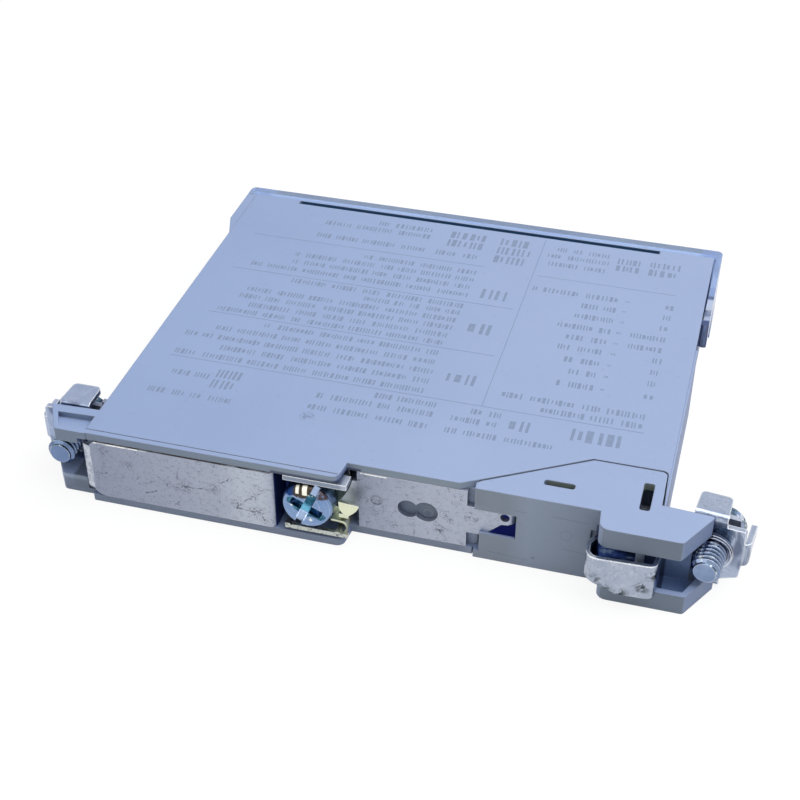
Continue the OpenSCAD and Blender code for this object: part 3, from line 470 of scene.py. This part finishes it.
# Boxes where light or shade is painted: low corner, high corner, soft distance.
LEFT_BEND = ((-0.9, -0.6, 2.5), (0.50, 0.9, 10.3), 0.15)
LEFT_RIM = ((0.6, -0.6, 10.46), (9.0, 0.4, 10.62), 0.06)
SEAT_RIM = ((38.4, 3.0, 10.55), (42.0, 4.0, 10.68), 0.06)
WING = ((34.6, 1.0, 8.0), (37.2, 4.2, 9.9), 0.1)
BY_SCREW = ((34.6, 3.0, 5.6), (36.9, 4.0, 9.8), 1.1)
RIGHT_END = ((26.9, 0.5, 0.5), (28.2, 9.0, 11.0), 0.1)

# Fades of painted light and sheen along the base, each from where a tone isn't seen to where it is full.
LEFT_LIGHT = (2, 25)
SEAT_LIGHT = (37, 48)
SHEEN = ((19, 22.5), (27, 25.5))

# Where the left strip ends and the plate on the seat begins, out from the base.
SEAT_STEP = (1.8, 2.2)


def strip_marks(g):
    """Fine cracks all over, and the dirt, long cracks and round mark at their places."""
    crackle = g.times(g.cell_edges(0.62, g.warped(0.9, 1.3), 0.035),
                      g.patches(0.5, 0.54, 0.60, detail=4, rough=0.7), 0.75)
    hairs = g.times(g.cell_edges(1.9, g.warped(1.6, 0.8), 0.07),
                    g.patches(1.1, 0.51, 0.58, detail=4, rough=0.7), 0.62)
    flecks = g.patches(3.4, 0.50, 0.57, rough=0.7)
    dirt = g.times(g.spots(STRIP_DIRT, 0.9), flecks, 0.9)
    cracks = g.times(g.lines(STRIP_CRACKS, g.warped(0.9, 1.0)), g.patches(2.0, 0.36, 0.50, rough=0.7), 0.8)
    mark = g.times(g.ring(ROUND_MARK, 0.72, 0.22), g.span(flecks, 0, 1, 0.3, 0.8))
    return g.highest(crackle, hairs, dirt, cracks, mark)


def strip_places(g, tone, left):
    """Painted highlights on the left bend and the rims, a painted shadow in the gap under the left rim, a
    painted highlight on the wing's edge, painted light beside the screw and painted shade at the right end.
    """
    # Painted highlight on the left bend.
    tone = g.paint(tone, g.times(g.zone(*LEFT_BEND), g.patches(1.2, 0.40, 0.55, 0.15, 0.6)),
                   (0.78, 0.82, 0.88))
    # Painted highlight on the left strip's top rim.
    tone = g.paint(tone, g.times(g.zone(*LEFT_RIM), g.patches(0.7, 0.42, 0.50, 0.3, 1.0)), RIM_HIGHLIGHT)
    # Painted shadow in the gap under the left rim.
    gap = g.times(g.span(g.axis("Z"), 10.62, 10.70), g.span(g.axis("X"), 0.4, 0.8), left)
    tone = g.paint(tone, g.times(gap, g.patches(0.35, 0.35, 0.55, 0.5, 0.95, detail=2)),
                   (0.030, 0.024, 0.022))
    # Painted highlight on the seat plate's top rim.
    tone = g.paint(tone, g.times(g.zone(*SEAT_RIM), g.patches(0.9, 0.38, 0.48)), RIM_HIGHLIGHT)
    # Painted highlight on the wing's edges.
    tone = g.paint(tone, g.times(g.zone(*WING), g.edge_wear_and_highlight(0.3)), (0.85, 0.87, 0.90))
    # Painted light beside the screw, over the dark that the metal mirrors there.
    tone = g.paint(tone, g.times(g.zone(*BY_SCREW), 0.62), (0.80, 0.86, 0.95))
    # Painted shade at the right end.
    return g.paint(tone, g.zone(*RIGHT_END), (0.020, 0.045, 0.200))


def tinned_sheet():
    m, g = new_material("tinned_sheet")
    along = g.axis("X")
    seat = g.span(g.axis("Y"), *SEAT_STEP)
    left = g.span(seat, 1, 0)
    # Painted light: the sheet turns lighter towards the right.
    light = g.math("ADD", g.times(g.span(along, *LEFT_LIGHT), left),
                   g.times(g.span(along, *SEAT_LIGHT), seat))
    tone = g.mix(light, (0.300, 0.335, 0.440), (0.425, 0.462, 0.555))
    # A painted sheen on the left strip.
    sheen = g.times(g.within(along, *SHEEN), left)
    tone = g.paint(tone, g.times(sheen, 0.35), (0.62, 0.67, 0.74))
    tone = g.shade(tone, g.uneven(0.16, 0.0, 0.5, detail=4), (0.88, 0.88, 0.90))
    tone = g.shade(tone, g.patches(2.5, 0.35, 0.65, 0.0, 0.28, detail=4), (0.72, 0.74, 0.78))
    marks = strip_marks(g)
    tone = g.paint(tone, marks, (0.060, 0.066, 0.090))
    # Edges lightened, partly as wear and partly as painted highlight.
    tone = g.paint(tone, g.times(g.edge_wear_and_highlight(0.2), 0.4), (0.70, 0.73, 0.78))
    tone = strip_places(g, tone, left)
    # Painted shade in narrow pockets.
    tone = g.paint(tone, g.times(g.depth(1.2), 0.6), (0.040, 0.050, 0.095))
    height = g.math("SUBTRACT", g.noise(0.35, rough=0.55), g.times(marks, 0.25))
    g.finish(g.principled(Base_Color=tone, Roughness=g.uneven(0.6, 0.38, 0.54, detail=4), Metallic=0.85,
                          Normal=g.bump(height, 0.3, 0.0002, g.soft_edges(0.12))))
    return m


# Plated metal

# Colour of painted highlights on plated metal.
GLARE = (0.80, 0.83, 0.88)


def plated(name, low, high, rough, pocket_shade_tone=NAVY, reach=2.0, shade=(0.05, 0.35), scuffs_and_glare=0.0,
           details=None):
    """Plated metal between two tones, with a lowest and highest roughness.

    Pockets within reach take the deep tone as painted shade, as far as the two shade limits say.
    Scuffs come as dark streaks with painted glare in bright patches, and edges take glare partly as
    wear and partly as painted highlight. Details may lay more colour over the tone.
    """
    m, g = new_material(name)
    tone = g.mottled(0.35, low, high, detail=4)
    if scuffs_and_glare:
        # Dark streaks as scuffs; the bright patches below are painted glare.
        streaks = g.patches(1.4, 0.53, 0.62, detail=5, rough=0.75, distortion=1.2)
        tone = g.paint(tone, g.times(streaks, scuffs_and_glare), tuple(0.22 * c for c in low))
        bright = g.patches(0.9, 0.54, 0.66, vector=g.stretched(shift=(9, 4, 2)))
        tone = g.paint(tone, g.times(bright, scuffs_and_glare * 0.6), GLARE)
    # Edges lit with glare, partly as wear and partly as painted highlight.
    tone = g.paint(tone, g.times(g.edge_wear_and_highlight(0.2), 0.5), GLARE)
    # Painted shade in the pockets.
    tone = g.paint(tone, g.times(g.depth(reach, *shade), 0.9), pocket_shade_tone)
    if details:
        tone = details(g, tone)
    normal = g.bump(g.noise(0.6, rough=0.55), 0.25, 0.0002, g.soft_edges(0.12))
    g.finish(g.principled(Base_Color=tone, Roughness=g.uneven(0.5, *rough), Metallic=1.0, Normal=normal))
    return m


# Places in the fixing screw's head.
HEAD_CENTRE = (31.8, 2.0, 6.0)
HEAD_SHADE = ((29.0, -0.6, 7.0), (33.2, 0.6, 10.0), 0.3)
HEAD_PATCH = ((33.0, -0.6, 7.9), (35.2, 0.6, 9.4), 0.25)
HEAD_WARM_GLINTS = (((30.45, -0.6, 8.3), (30.8, 0.6, 9.7)), ((31.4, -0.6, 8.2), (31.95, 0.6, 9.6)))
HEAD_GLINTS = (((32.4, -0.1, 4.0), 0.32), ((29.75, -0.1, 6.1), 0.22))
HEAD_CURVE = (31.9, -0.1, 3.7)

# Depths in the head: the floor of the slot, and the cross.
SLOT_FLOOR = ((0.55, 0.65), (0.95, 0.85))
CROSS_DEPTH = ((0.85, 1.0), (2.6, 2.5))

# Distances from the head's centre: where the cross ends, and where its arms, brightened as painted light,
# begin.
CROSS_END = (3.3, 3.0)
CROSS_ARMS = (1.0, 1.4)

# Lines of painted shade round the cross: ends, then width.
CROSS_SHADE_LINES = (
    (((29.7, -0.15, 6.9), (31.2, -0.15, 6.1)), 0.75), (((30.7, -0.15, 6.3), (31.9, -0.15, 5.5)), 1.15),
    (((32.2, -0.15, 5.5), (33.8, -0.15, 4.8)), 0.80),
)


def fixing_screw_details(g, tone):
    """Painted reflections of dark surroundings and painted warm glints in the head, painted light on the
    slot floors, painted shade in and round the cross with painted light on its arms, and painted glints.
    """
    out = g.axis("Y")
    edge = g.math("ADD", g.axis("Z"), g.uneven(0.9, -0.4, 0.4, detail=2, rough=0.5))
    # Painted reflection of dark surroundings over the head's upper part, brownish at the right and blue at
    # the left.
    shade = g.times(g.span(edge, 7.5, 7.8), g.zone(*HEAD_SHADE))
    shade_tone = g.mix(g.span(g.axis("X"), 30.3, 29.7), (0.060, 0.050, 0.040), (0.015, 0.050, 0.190))
    tone = g.paint(tone, shade, shade_tone)
    # A painted dark reflection at the right of the head.
    patch = g.times(g.zone(*HEAD_PATCH), g.patches(1.1, 0.38, 0.5))
    tone = g.paint(tone, patch, (0.075, 0.060, 0.070))
    # Painted warm glints near the head's upper edge.
    streaks = g.highest(*[g.zone(*corners, 0.12) for corners in HEAD_WARM_GLINTS])
    tone = g.paint(tone, streaks, (0.95, 0.93, 0.80))
    # Painted light on the slot floors.
    floor = g.within(out, *SLOT_FLOOR)
    tone = g.paint(tone, g.times(floor, 0.9), (0.40, 0.52, 0.74))
    # Painted shade in the cross, with painted light on its arms and painted glints deep in it.
    far = g.vec("DISTANCE", g.coords(), HEAD_CENTRE)
    deep = g.times(g.within(out, *CROSS_DEPTH), g.span(far, *CROSS_END))
    pocket_shade_tone = g.mix(g.patches(1.1, 0.42, 0.58), (0.016, 0.070, 0.120), (0.040, 0.170, 0.260))
    tone = g.paint(tone, deep, g.paint(pocket_shade_tone, g.span(far, *CROSS_ARMS), (0.16, 0.46, 0.66)))
    # Painted shade round the cross.
    cross_shade = g.lines(CROSS_SHADE_LINES, g.warped(1.1, 0.7))
    cross_shade = g.times(g.span(cross_shade, 0.25, 0.45), g.span(out, 0.50, 0.40))
    cross_shade_tone = g.mix(g.patches(1.5, 0.48, 0.62), (0.012, 0.075, 0.130), (0.055, 0.190, 0.280))
    tone = g.paint(tone, g.times(cross_shade, 0.92), cross_shade_tone)
    # Painted glints on the head.
    curve = g.times(g.ring(HEAD_CURVE, 0.7, 0.25), g.patches(1.3, 0.50, 0.60))
    sparks = g.times(deep, g.patches(1.6, 0.60, 0.66, detail=4, rough=0.7))
    return g.paint(tone, g.highest(g.spots(HEAD_GLINTS), curve, sparks), (0.80, 0.86, 0.80))


# Places on the clip: its hollow, painted in shade, its dark patches, and two dark seams.
CLIP_HOLLOW = ((70.4, 0.6, 0.5), (79.4, 8.0, 11.0), 0.1)
CLIP_DARK_PATCHES = (((71.2, -1.2, 4.2), 1.9), ((74.6, -1.9, 2.9), 1.3), ((77.3, -1.9, 4.4), 1.4),
              ((78.8, -1.2, 6.4), 1.5), ((72.6, -1.9, 3.0), 1.3))
CLIP_SEAMS = ((((74.1, -1.95, 8.0), (74.25, -1.95, 6.4)), 0.14),
              (((78.2, -1.9, 6.8), (79.2, -1.9, 9.9)), 0.15))


def clip_details(g, tone):
    """Painted shade inside the bent clip, a painted highlight on its rim, and the dark patches and seams on
    it.
    """
    hollow_tone = g.mix(g.patches(0.9, 0.54, 0.66), (0.014, 0.030, 0.110), (0.09, 0.13, 0.20))
    # Painted shade in the clip's hollow.
    tone = g.paint(tone, g.zone(*CLIP_HOLLOW), hollow_tone)
    wander = g.patches(0.8, 0.47, 0.53, detail=4, rough=0.7, distortion=0.8)
    tone = g.paint(tone, g.times(g.spots(CLIP_DARK_PATCHES, 0.8), wander), (0.040, 0.050, 0.060))
    tone = g.paint(tone, g.times(g.lines(CLIP_SEAMS), 0.6), (0.10, 0.11, 0.15))
    # Painted highlight along the clip's rim.
    rim = g.times(g.span(g.axis("Z"), 7.5, 7.8), g.patches(0.6, 0.36, 0.5, 0.45, 1.0, detail=2, rough=0.5))
    return g.paint(tone, g.times(rim, g.edge_wear_and_highlight(0.4)), (0.95, 0.96, 0.98))


def yoke_details(g, tone):
    """The flat tab is even; the upright faces take painted reflections of dark surroundings in soft bands,
    and the edges a painted highlight.
    """
    bands = g.patches(0.42, 0.46, 0.60, detail=2, rough=0.5, distortion=0.5,
                      vector=g.stretched((1.0, 1.0, 0.5)))
    tone = g.paint(tone, g.times(bands, g.span(g.facing("Z"), 0, 1, 0.80, 0.06)), (0.070, 0.090, 0.160))
    return g.paint(tone, g.times(g.edge_wear_and_highlight(0.3), 0.8), (0.88, 0.90, 0.94))


def claw_details(g, tone):
    """Painted shade over the upper part, where the screw's head shades it, with lighter streaks in it."""
    shade = g.times(g.span(g.axis("Y"), 2.2, 2.4), g.span(g.axis("Z"), 4.7, 5.1))
    streaks = g.patches(0.9, 0.56, 0.60, distortion=0.5)
    return g.paint(tone, g.times(shade, 0.95), g.mix(streaks, (0.022, 0.042, 0.045), (0.30, 0.36, 0.30)))


def frame_details(g, tone):
    """The lower lip is yellowish with dark specks; the upper lip is painted darker as shade, but for its
    right end, and has a painted highlight on its lower edge.
    """
    up = g.axis("Z")
    low = g.span(up, 5.5, 4.5)
    tone = g.paint(tone, low, (0.50, 0.53, 0.50))
    specks = g.times(g.patches(2.2, 0.54, 0.60, rough=0.7), low)
    tone = g.paint(tone, g.times(specks, 0.8), (0.05, 0.05, 0.05))
    # Painted shade on the upper lip, and a painted highlight on its edges.
    upper = g.span(up, 8.0, 9.0)
    tone = g.paint(tone, g.times(upper, g.span(g.axis("X"), 36.9, 36.5)), (0.22, 0.26, 0.34))
    return g.paint(tone, g.times(g.edge_wear_and_highlight(0.25), upper), (0.85, 0.88, 0.90))


def thread_details(g, tone):
    """Painted reflections of dark surroundings and painted glints of the lamps lie in bands on the threads,
    with painted shade at the top of the left screw; the flat end stays even.
    """
    side = g.math("SUBTRACT", 1.0, g.facing("Y", -1))
    dark = g.patches(0.8, 0.42, 0.55, distortion=0.4)
    # Painted shade over the top of the left screw.
    left_top = g.times(g.span(g.axis("X"), 0.0, -1.0), g.span(g.axis("Z"), 6.6, 7.2))
    tone = g.paint(tone, g.times(side, g.highest(dark, left_top), 0.8), (0.024, 0.060, 0.085))
    glint = g.patches(1.2, 0.57, 0.64, vector=g.stretched(shift=(5, 2, 7)))
    return g.paint(tone, g.times(side, glint, 0.8), (0.80, 0.84, 0.84))


# Clear front

CLEAR_IOR = 1.49
HAZE = (0.10, 0.22)

# Limits of the clear window along the base, and of the leg along the base and out from it.
WINDOW = ((1.6, 2.0), (76.4, 76.0))
LEG_ALONG = (76.5, 77.0)
LEG_OUT = (67.0, 66.5)

# Bands across the leg, painted as shade and light, by their limits out from the base. The gap also ends
# along the base.
GAP = ((42.6, 42.9), (51.2, 50.9))
GAP_SIDE = (79.0, 78.8)
NAVY_BAND = ((50.9, 51.1), (52.6, 52.4))
PALE_BAND = ((52.4, 52.7), (57.0, 56.8))
THIN_BAND = ((57.1, 57.3), (58.0, 57.8))


def clear_plastic():
    """Tinted and hazy at its edges, clear in the window, with the leg at the right in bands: a black gap and
    navy and thin dark bands as painted shade, and a pale band as painted light on a lit face.
    """
    m, g = new_material("clear_plastic")
    along, out = g.axis("X"), g.axis("Y")
    haze = g.patches(0.18, 0.35, 0.7, *HAZE)
    tone = g.mottled(0.09, (0.39, 0.55, 0.90), (0.46, 0.63, 0.97), detail=2, rough=0.5)
    # Edges lightened as painted highlight.
    tone = g.paint(tone, g.times(g.edge_wear_and_highlight(0.2), 0.6), (0.86, 0.90, 1.0))
    tinted = g.principled(Base_Color=tone, Roughness=haze, IOR=CLEAR_IOR, Transmission_Weight=0.6,
                          Normal=g.soft_edges(0.1))
    glass_tone = g.mix(g.span(haze, *HAZE), (0.90, 0.94, 1.0), (0.94, 0.97, 1.0))
    glass = g.principled(Base_Color=glass_tone, Roughness=g.uneven(0.3, 0.04, 0.10), IOR=CLEAR_IOR,
                         Transmission_Weight=0.97)
    window = g.times(g.within(along, *WINDOW), g.highest(g.facing("Y"), g.facing("Y", -1)))
    leg = g.times(g.span(along, *LEG_ALONG), g.span(out, *LEG_OUT))
    # Painted shade in the leg's gap and dark bands, and painted light on its pale band.
    gap = g.times(leg, g.within(out, *GAP), g.span(along, *GAP_SIDE))
    navy, pale, thin = (g.times(leg, g.within(out, *band)) for band in (NAVY_BAND, PALE_BAND, THIN_BAND))
    dull_tone = g.mix(navy, (0.008, 0.012, 0.030), (0.02, 0.04, 0.16))
    dull_tone = g.paint(dull_tone, thin, (0.05, 0.07, 0.14))
    dull_tone = g.paint(dull_tone, pale, (0.60, 0.66, 0.78))
    dull = g.principled(Base_Color=dull_tone, Roughness=g.uneven(0.6, 0.3, 0.45))
    bands = g.times(g.highest(gap, navy, g.times(pale, 0.7), thin), 0.9)
    g.finish(g.blend(bands, g.blend(window, tinted, glass), dull))
    return m


def moulded(name, low, high, rough, scale=0.3):
    """Plain plastic, resin, board or paper between two tones."""
    m, g = new_material(name)
    fine = {"detail": 2, "rough": 0.5}
    normal = g.bump(g.noise(scale * 5, **fine), 0.15, 0.00005, g.soft_edges(0.1))
    roughness = g.uneven(scale * 2, rough * 0.9, rough * 1.1, **fine)
    g.finish(g.principled(Base_Color=g.mottled(scale, low, high), Roughness=roughness, Normal=normal))
    return m


YELLOW_ZINC = ((0.66, 0.70, 0.50), (0.78, 0.80, 0.62), (0.25, 0.40))

MATERIALS = {
    "grey_plastic": grey_plastic(),
    "tinned_sheet": tinned_sheet(),
    "bright_steel": plated("bright_steel", (0.33, 0.38, 0.52), (0.42, 0.48, 0.62), (0.20, 0.36), scuffs_and_glare=0.5),
    "blue_zinc": plated("blue_zinc", (0.11, 0.20, 0.38), (0.21, 0.32, 0.52), (0.16, 0.32),
                        (0.004, 0.040, 0.085)),
    "yellow_zinc": plated("yellow_zinc", *YELLOW_ZINC),
    "clear_plastic": clear_plastic(),
    "potting": moulded("potting", (0.02, 0.02, 0.025), (0.035, 0.035, 0.04), 0.5),
    "board": moulded("board", (0.02, 0.09, 0.04), (0.03, 0.13, 0.06), 0.35),
    "component": moulded("component", (0.03, 0.03, 0.035), (0.05, 0.05, 0.055), 0.4),
    "copper_alloy": plated("copper_alloy", (0.60, 0.42, 0.24), (0.72, 0.54, 0.34), (0.25, 0.4)),
    "label_paper": moulded("label_paper", (0.80, 0.80, 0.78), (0.86, 0.86, 0.84), 0.6),
    "carrier_plastic": moulded("carrier_plastic", (0.40, 0.45, 0.55), (0.46, 0.51, 0.62), 0.45),
}

# Clamp screws take the deep tone between their threads as painted shade.
THREADS = {"reach": 1.0, "shade": (0.45, 0.78), "details": thread_details}

# Pieces whose own looks differ from the rest of their stock.
OWN_LOOKS = {
    "fixing_screw": plated("screw_head", (0.17, 0.27, 0.48), (0.24, 0.35, 0.57), (0.22, 0.34),
                           (0.02, 0.05, 0.13), reach=0.7, details=fixing_screw_details),
    "rail_claw": plated("claw_zinc", *YELLOW_ZINC, (0.05, 0.06, 0.06), reach=1.0, details=claw_details),
    "latch_clip": plated("clip_steel", (0.32, 0.365, 0.46), (0.42, 0.465, 0.565), (0.12, 0.24), scuffs_and_glare=0.25,
                         details=clip_details),
    "left_clamp_yoke": plated("left_yoke_steel", (0.30, 0.36, 0.52), (0.38, 0.45, 0.62), (0.14, 0.28),
                              scuffs_and_glare=0.15, details=yoke_details),
    "right_clamp_yoke": plated("right_yoke_steel", (0.33, 0.39, 0.52), (0.42, 0.48, 0.61), (0.10, 0.22),
                               reach=1.4, shade=(0.30, 0.72), scuffs_and_glare=0.2, details=yoke_details),
    "left_clamp_screw": plated("left_screw_steel", (0.13, 0.19, 0.34), (0.19, 0.27, 0.45), (0.12, 0.22),
                               **THREADS),
    "right_clamp_screw": plated("right_screw_steel", (0.17, 0.24, 0.38), (0.26, 0.33, 0.50), (0.10, 0.22),
                                **THREADS),
    "fixing_frame": plated("frame_steel", (0.32, 0.36, 0.45), (0.40, 0.44, 0.53), (0.30, 0.42),
                           details=frame_details),
}

for entry in frame["record"]["subparts"]:
    o = nodes[entry["node"]]
    look = OWN_LOOKS.get(entry["node"], MATERIALS[entry["material_slot"]])
    o.data.materials.clear()
    o.data.materials.append(look)


# Print on the side cover: rules and rows of plain bars

INK_RISE = 0.012
INK_ROOT = 0.02

# Bars of a word, as shares of its height: widths, gaps and heights to choose from.
BAR_WIDTHS = (0.14, 0.17, 0.20, 0.36)
BAR_GAPS = (0.16, 0.20, 0.30)
BAR_HEIGHTS = (0.72, 1.0, 1.0)

# Words of a row: their lengths, the space between them, and the least room for one more word
# or one more bar.
WORD_LENGTH = (1.6, 7.0)
WORD_GAP = 0.85
WORD_ROOM = 0.8
BAR_ROOM = 0.25

# Each row of print: distance from the base, start and end along the base, bar height.
PRINT_ROWS = (
    (12.0, 4.4, 16.9, 1.2), (14.0, 27.6, 45.1, 1.2), (14.0, 47.3, 62.4, 1.2),
    (16.8, 6.1, 12.0, 1.2), (16.8, 28.0, 45.2, 1.2), (16.8, 47.5, 54.2, 1.2),
    (19.0, 35.0, 45.2, 1.2), (19.0, 49.3, 54.2, 1.2),
    (21.8, 4.5, 42.5, 1.2), (24.2, 10.3, 42.5, 1.2), (26.6, 4.2, 42.5, 1.2), (29.0, 6.6, 42.4, 1.2),
    (31.4, 15.0, 42.3, 1.2),
    (34.1, 6.4, 42.3, 1.2), (36.2, 10.4, 42.5, 1.2), (38.4, 8.4, 42.4, 1.2), (40.5, 8.9, 42.4, 1.2),
    (42.6, 27.3, 42.4, 1.2), (44.6, 13.8, 42.5, 1.2),
    (47.8, 6.9, 42.5, 1.2), (50.1, 13.1, 42.5, 1.2), (52.3, 12.8, 42.5, 1.2), (54.5, 23.8, 42.5, 1.2),
    (59.1, 14.3, 32.6, 1.3), (59.1, 34.5, 41.5, 1.3), (63.3, 14.5, 32.6, 1.3), (65.4, 23.2, 32.6, 1.3),
    (21.9, 57.8, 73.7, 1.3), (24.1, 53.1, 73.7, 1.3),
    (60.5, 52.2, 62.2, 1.2), (62.9, 52.2, 62.2, 1.2), (65.1, 52.9, 62.2, 1.2),
)

# The table at the right: distance from the base, width of the first and of the last column.
PRINT_TABLE = (
    (28.9, 1.3, 5.4), (32.1, 1.2, 4.2), (35.0, 1.2, 5.6), (38.0, 1.3, 7.0), (40.8, 5.3, 6.2),
    (43.7, 5.4, 8.0), (46.7, 1.4, 7.4), (49.7, 1.3, 5.4), (52.6, 1.3, 13.6),
)
TABLE_RIGHT = 73.8
TABLE_DASH = (66.3, 67.2)
TABLE_LAST = 65.4
TABLE_HEIGHT = 1.3
DASH_HEIGHT = 0.5

# Rules: start and end along the base, then start and end away from it.
PRINT_RULES = (
    (4.2, 73.7, 20.45, 20.55), (5.3, 50.1, 32.85, 32.95), (4.2, 50.1, 45.8, 45.9), (4.2, 43.1, 56.6, 56.7),
    (51.8, 73.6, 56.3, 56.4), (50.95, 51.05, 20.5, 67.4),
)

# Blocks of bold bars, bounded as the rules are.
PRINT_BLOCKS = (
    (44.6, 49.0, 24.4, 27.6), (44.6, 49.0, 37.4, 41.0), (44.4, 49.0, 47.2, 50.6), (44.0, 49.3, 58.2, 66.4),
    (35.6, 41.4, 61.2, 66.4), (12.6, 16.2, 14.2, 19.2), (55.6, 58.6, 15.9, 18.9), (64.2, 71.0, 15.9, 19.3),
    (63.4, 67.2, 61.0, 65.2), (68.6, 73.4, 60.9, 65.6),
)
BLOCK_ROW = 2.6
BLOCK_FILL = 0.78


def add_bar(bm, u0, u1, v0, v1):
    """A thin box on the side cover, rooted a little in it."""
    corners = ((u0, v0), (u1, v0), (u1, v1), (u0, v1))
    bottom = [bm.verts.new(at(u, v, TOP - INK_ROOT)) for u, v in corners]
    top = [bm.verts.new(at(u, v, TOP + INK_RISE)) for u, v in corners]
    bm.faces.new(bottom[::-1])
    bm.faces.new(top)
    for i in range(4):
        j = (i + 1) % 4
        bm.faces.new((bottom[i], bottom[j], top[j], top[i]))


def add_word(bm, rng, u0, u1, v, height):
    """A run of short upright bars of uneven width, the size of a printed word."""
    u = u0
    while u < u1 - BAR_ROOM:
        width = min(height * rng.choice(BAR_WIDTHS), u1 - u)
        half = height / 2 * rng.choice(BAR_HEIGHTS)
        add_bar(bm, u, u + width, v - half, v + half)
        u += width + height * rng.choice(BAR_GAPS)


def add_row(bm, rng, v, u0, u1, height):
    """Words of uneven length from the right end of the row to its left."""
    u = u1
    while u > u0 + WORD_ROOM:
        length = min(rng.uniform(*WORD_LENGTH), u - u0)
        add_word(bm, rng, u - length, u, v, height)
        u -= length + WORD_GAP


def printed_marks():
    rng = random.Random(7)
    bm = bmesh.new()
    for v, u0, u1, height in PRINT_ROWS:
        add_row(bm, rng, v, u0, u1, height)
    for v, first, last in PRINT_TABLE:
        add_word(bm, rng, TABLE_RIGHT - first, TABLE_RIGHT, v, TABLE_HEIGHT)
        add_word(bm, rng, *TABLE_DASH, v, DASH_HEIGHT)
        add_row(bm, rng, v, TABLE_LAST - last, TABLE_LAST, TABLE_HEIGHT)
    for rule in PRINT_RULES:
        add_bar(bm, *rule)
    for u0, u1, v0, v1 in PRINT_BLOCKS:
        rows = max(1, round((v1 - v0) / BLOCK_ROW))
        step = (v1 - v0) / rows
        for i in range(rows):
            add_word(bm, rng, u0, u1, v0 + step * (i + 0.5), step * BLOCK_FILL)
    bmesh.ops.recalc_face_normals(bm, faces=bm.faces)
    mesh = bpy.data.meshes.new("printed_marks")
    bm.to_mesh(mesh)
    bm.free()
    o = bpy.data.objects.new("printed_marks", mesh)
    scene.collection.objects.link(o)
    return o


def ink():
    m, g = new_material("ink")
    fine = {"detail": 2, "rough": 0.5}
    normal = g.bump(g.noise(3.0, **fine), 0.1, 0.00002)
    g.finish(g.principled(Base_Color=g.mottled(1.6, (0.205, 0.270, 0.410), (0.240, 0.310, 0.465)),
                          Roughness=g.uneven(2.0, 0.50, 0.62, **fine), Normal=normal))
    return m


marks = printed_marks()
marks.data.materials.append(ink())
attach(marks, "module")


# Studio

# Half the floor's width and how far it lies under the part, in metres, then its looks.
FLOOR_HALF = 3.0
FLOOR_DROP = 0.00005
FLOOR_TONE = (0.80, 0.79, 0.76)
FLOOR_GLOW = 0.88
SHADOW_TONE = (0.16, 0.16, 0.16)

# Light from all round, and what the camera sees there.
FILL_TONE = (0.98, 0.97, 0.95)
FILL_STRENGTH = 0.30
WHITE = (1, 1, 1)

# Lamps: name, place, size, power, colour. All point at the origin, under the part's middle.
LAMPS = (
    ("overhead", (0.24, 0.04, 0.56), 0.7, 3.7, (0.93, 0.96, 1.0)),
    ("side", (0.62, 0.30, 0.34), 0.5, 0.45, (0.97, 0.98, 1.0)),
    ("front", (-0.38, -0.60, 0.24), 0.6, 0.9, (1.0, 0.92, 0.80)),
)

# The camera, fitted to the photo: its place, its axes, its lens and the distances it sees.
CAMERA_PLACE = at(84.127, -142.162, 136.997)
CAMERA_RIGHT = Vector((0.96349186, 0.26773196, 0.00174217))
CAMERA_DOWN = Vector((0.16177046, -0.57695672, -0.80059432))
CAMERA_FORWARD = Vector((-0.21333953, 0.77164794, -0.59920423))
SENSOR_WIDTH = 36
FOCAL_PIXELS = 1484.39
IMAGE_PIXELS = 800
CAMERA_RANGE = (0.005, 20)


def studio_floor():
    """White to the camera but for the object's shadow, and a plain pale floor to the light."""
    s = FLOOR_HALF
    mesh = bpy.data.meshes.new("floor")
    mesh.from_pydata([(-s, -s, 0), (s, -s, 0), (s, s, 0), (-s, s, 0)], [], [(0, 1, 2, 3)])
    o = bpy.data.objects.new("floor", mesh)
    scene.collection.objects.link(o)
    o.location.z = -FLOOR_DROP
    m, g = new_material("floor")
    shown = g.add("AddShader")
    g.put(shown.inputs[0], g.coloured("BsdfDiffuse", SHADOW_TONE).outputs[0])
    g.put(shown.inputs[1], g.coloured("Emission", WHITE, Strength=FLOOR_GLOW).outputs[0])
    g.finish(g.blend(g.seen(), g.coloured("BsdfDiffuse", FLOOR_TONE), shown))
    mesh.materials.append(m)


def studio_world():
    w = bpy.data.worlds.new("studio")
    scene.world = w
    g = Graph(w)
    fill = g.coloured("Background", FILL_TONE, Strength=FILL_STRENGTH)
    white = g.coloured("Background", WHITE, Strength=1.0)
    g.finish(g.blend(g.seen(), fill, white), world=True)


def add_lamp(name, place, size, power, colour):
    data = bpy.data.lights.new(name, "AREA")
    data.shape = "SQUARE"
    data.size = size
    data.energy = power
    data.color = colour
    o = bpy.data.objects.new(name, data)
    scene.collection.objects.link(o)
    o.location = place
    o.rotation_mode = "QUATERNION"
    o.rotation_quaternion = (-Vector(place)).to_track_quat("-Z", "Y")


def add_camera():
    data = bpy.data.cameras.new("camera")
    data.sensor_width = SENSOR_WIDTH
    data.lens = SENSOR_WIDTH * FOCAL_PIXELS / IMAGE_PIXELS
    data.clip_start, data.clip_end = CAMERA_RANGE
    o = bpy.data.objects.new("camera", data)
    scene.collection.objects.link(o)
    turn = Matrix((CAMERA_RIGHT, -CAMERA_DOWN, -CAMERA_FORWARD)).transposed()
    o.matrix_world = Matrix.Translation(CAMERA_PLACE) @ turn.to_4x4()
    scene.camera = o


studio_floor()
studio_world()
for lamp in LAMPS:
    add_lamp(*lamp)
add_camera()
scene.view_settings.view_transform = "Standard"
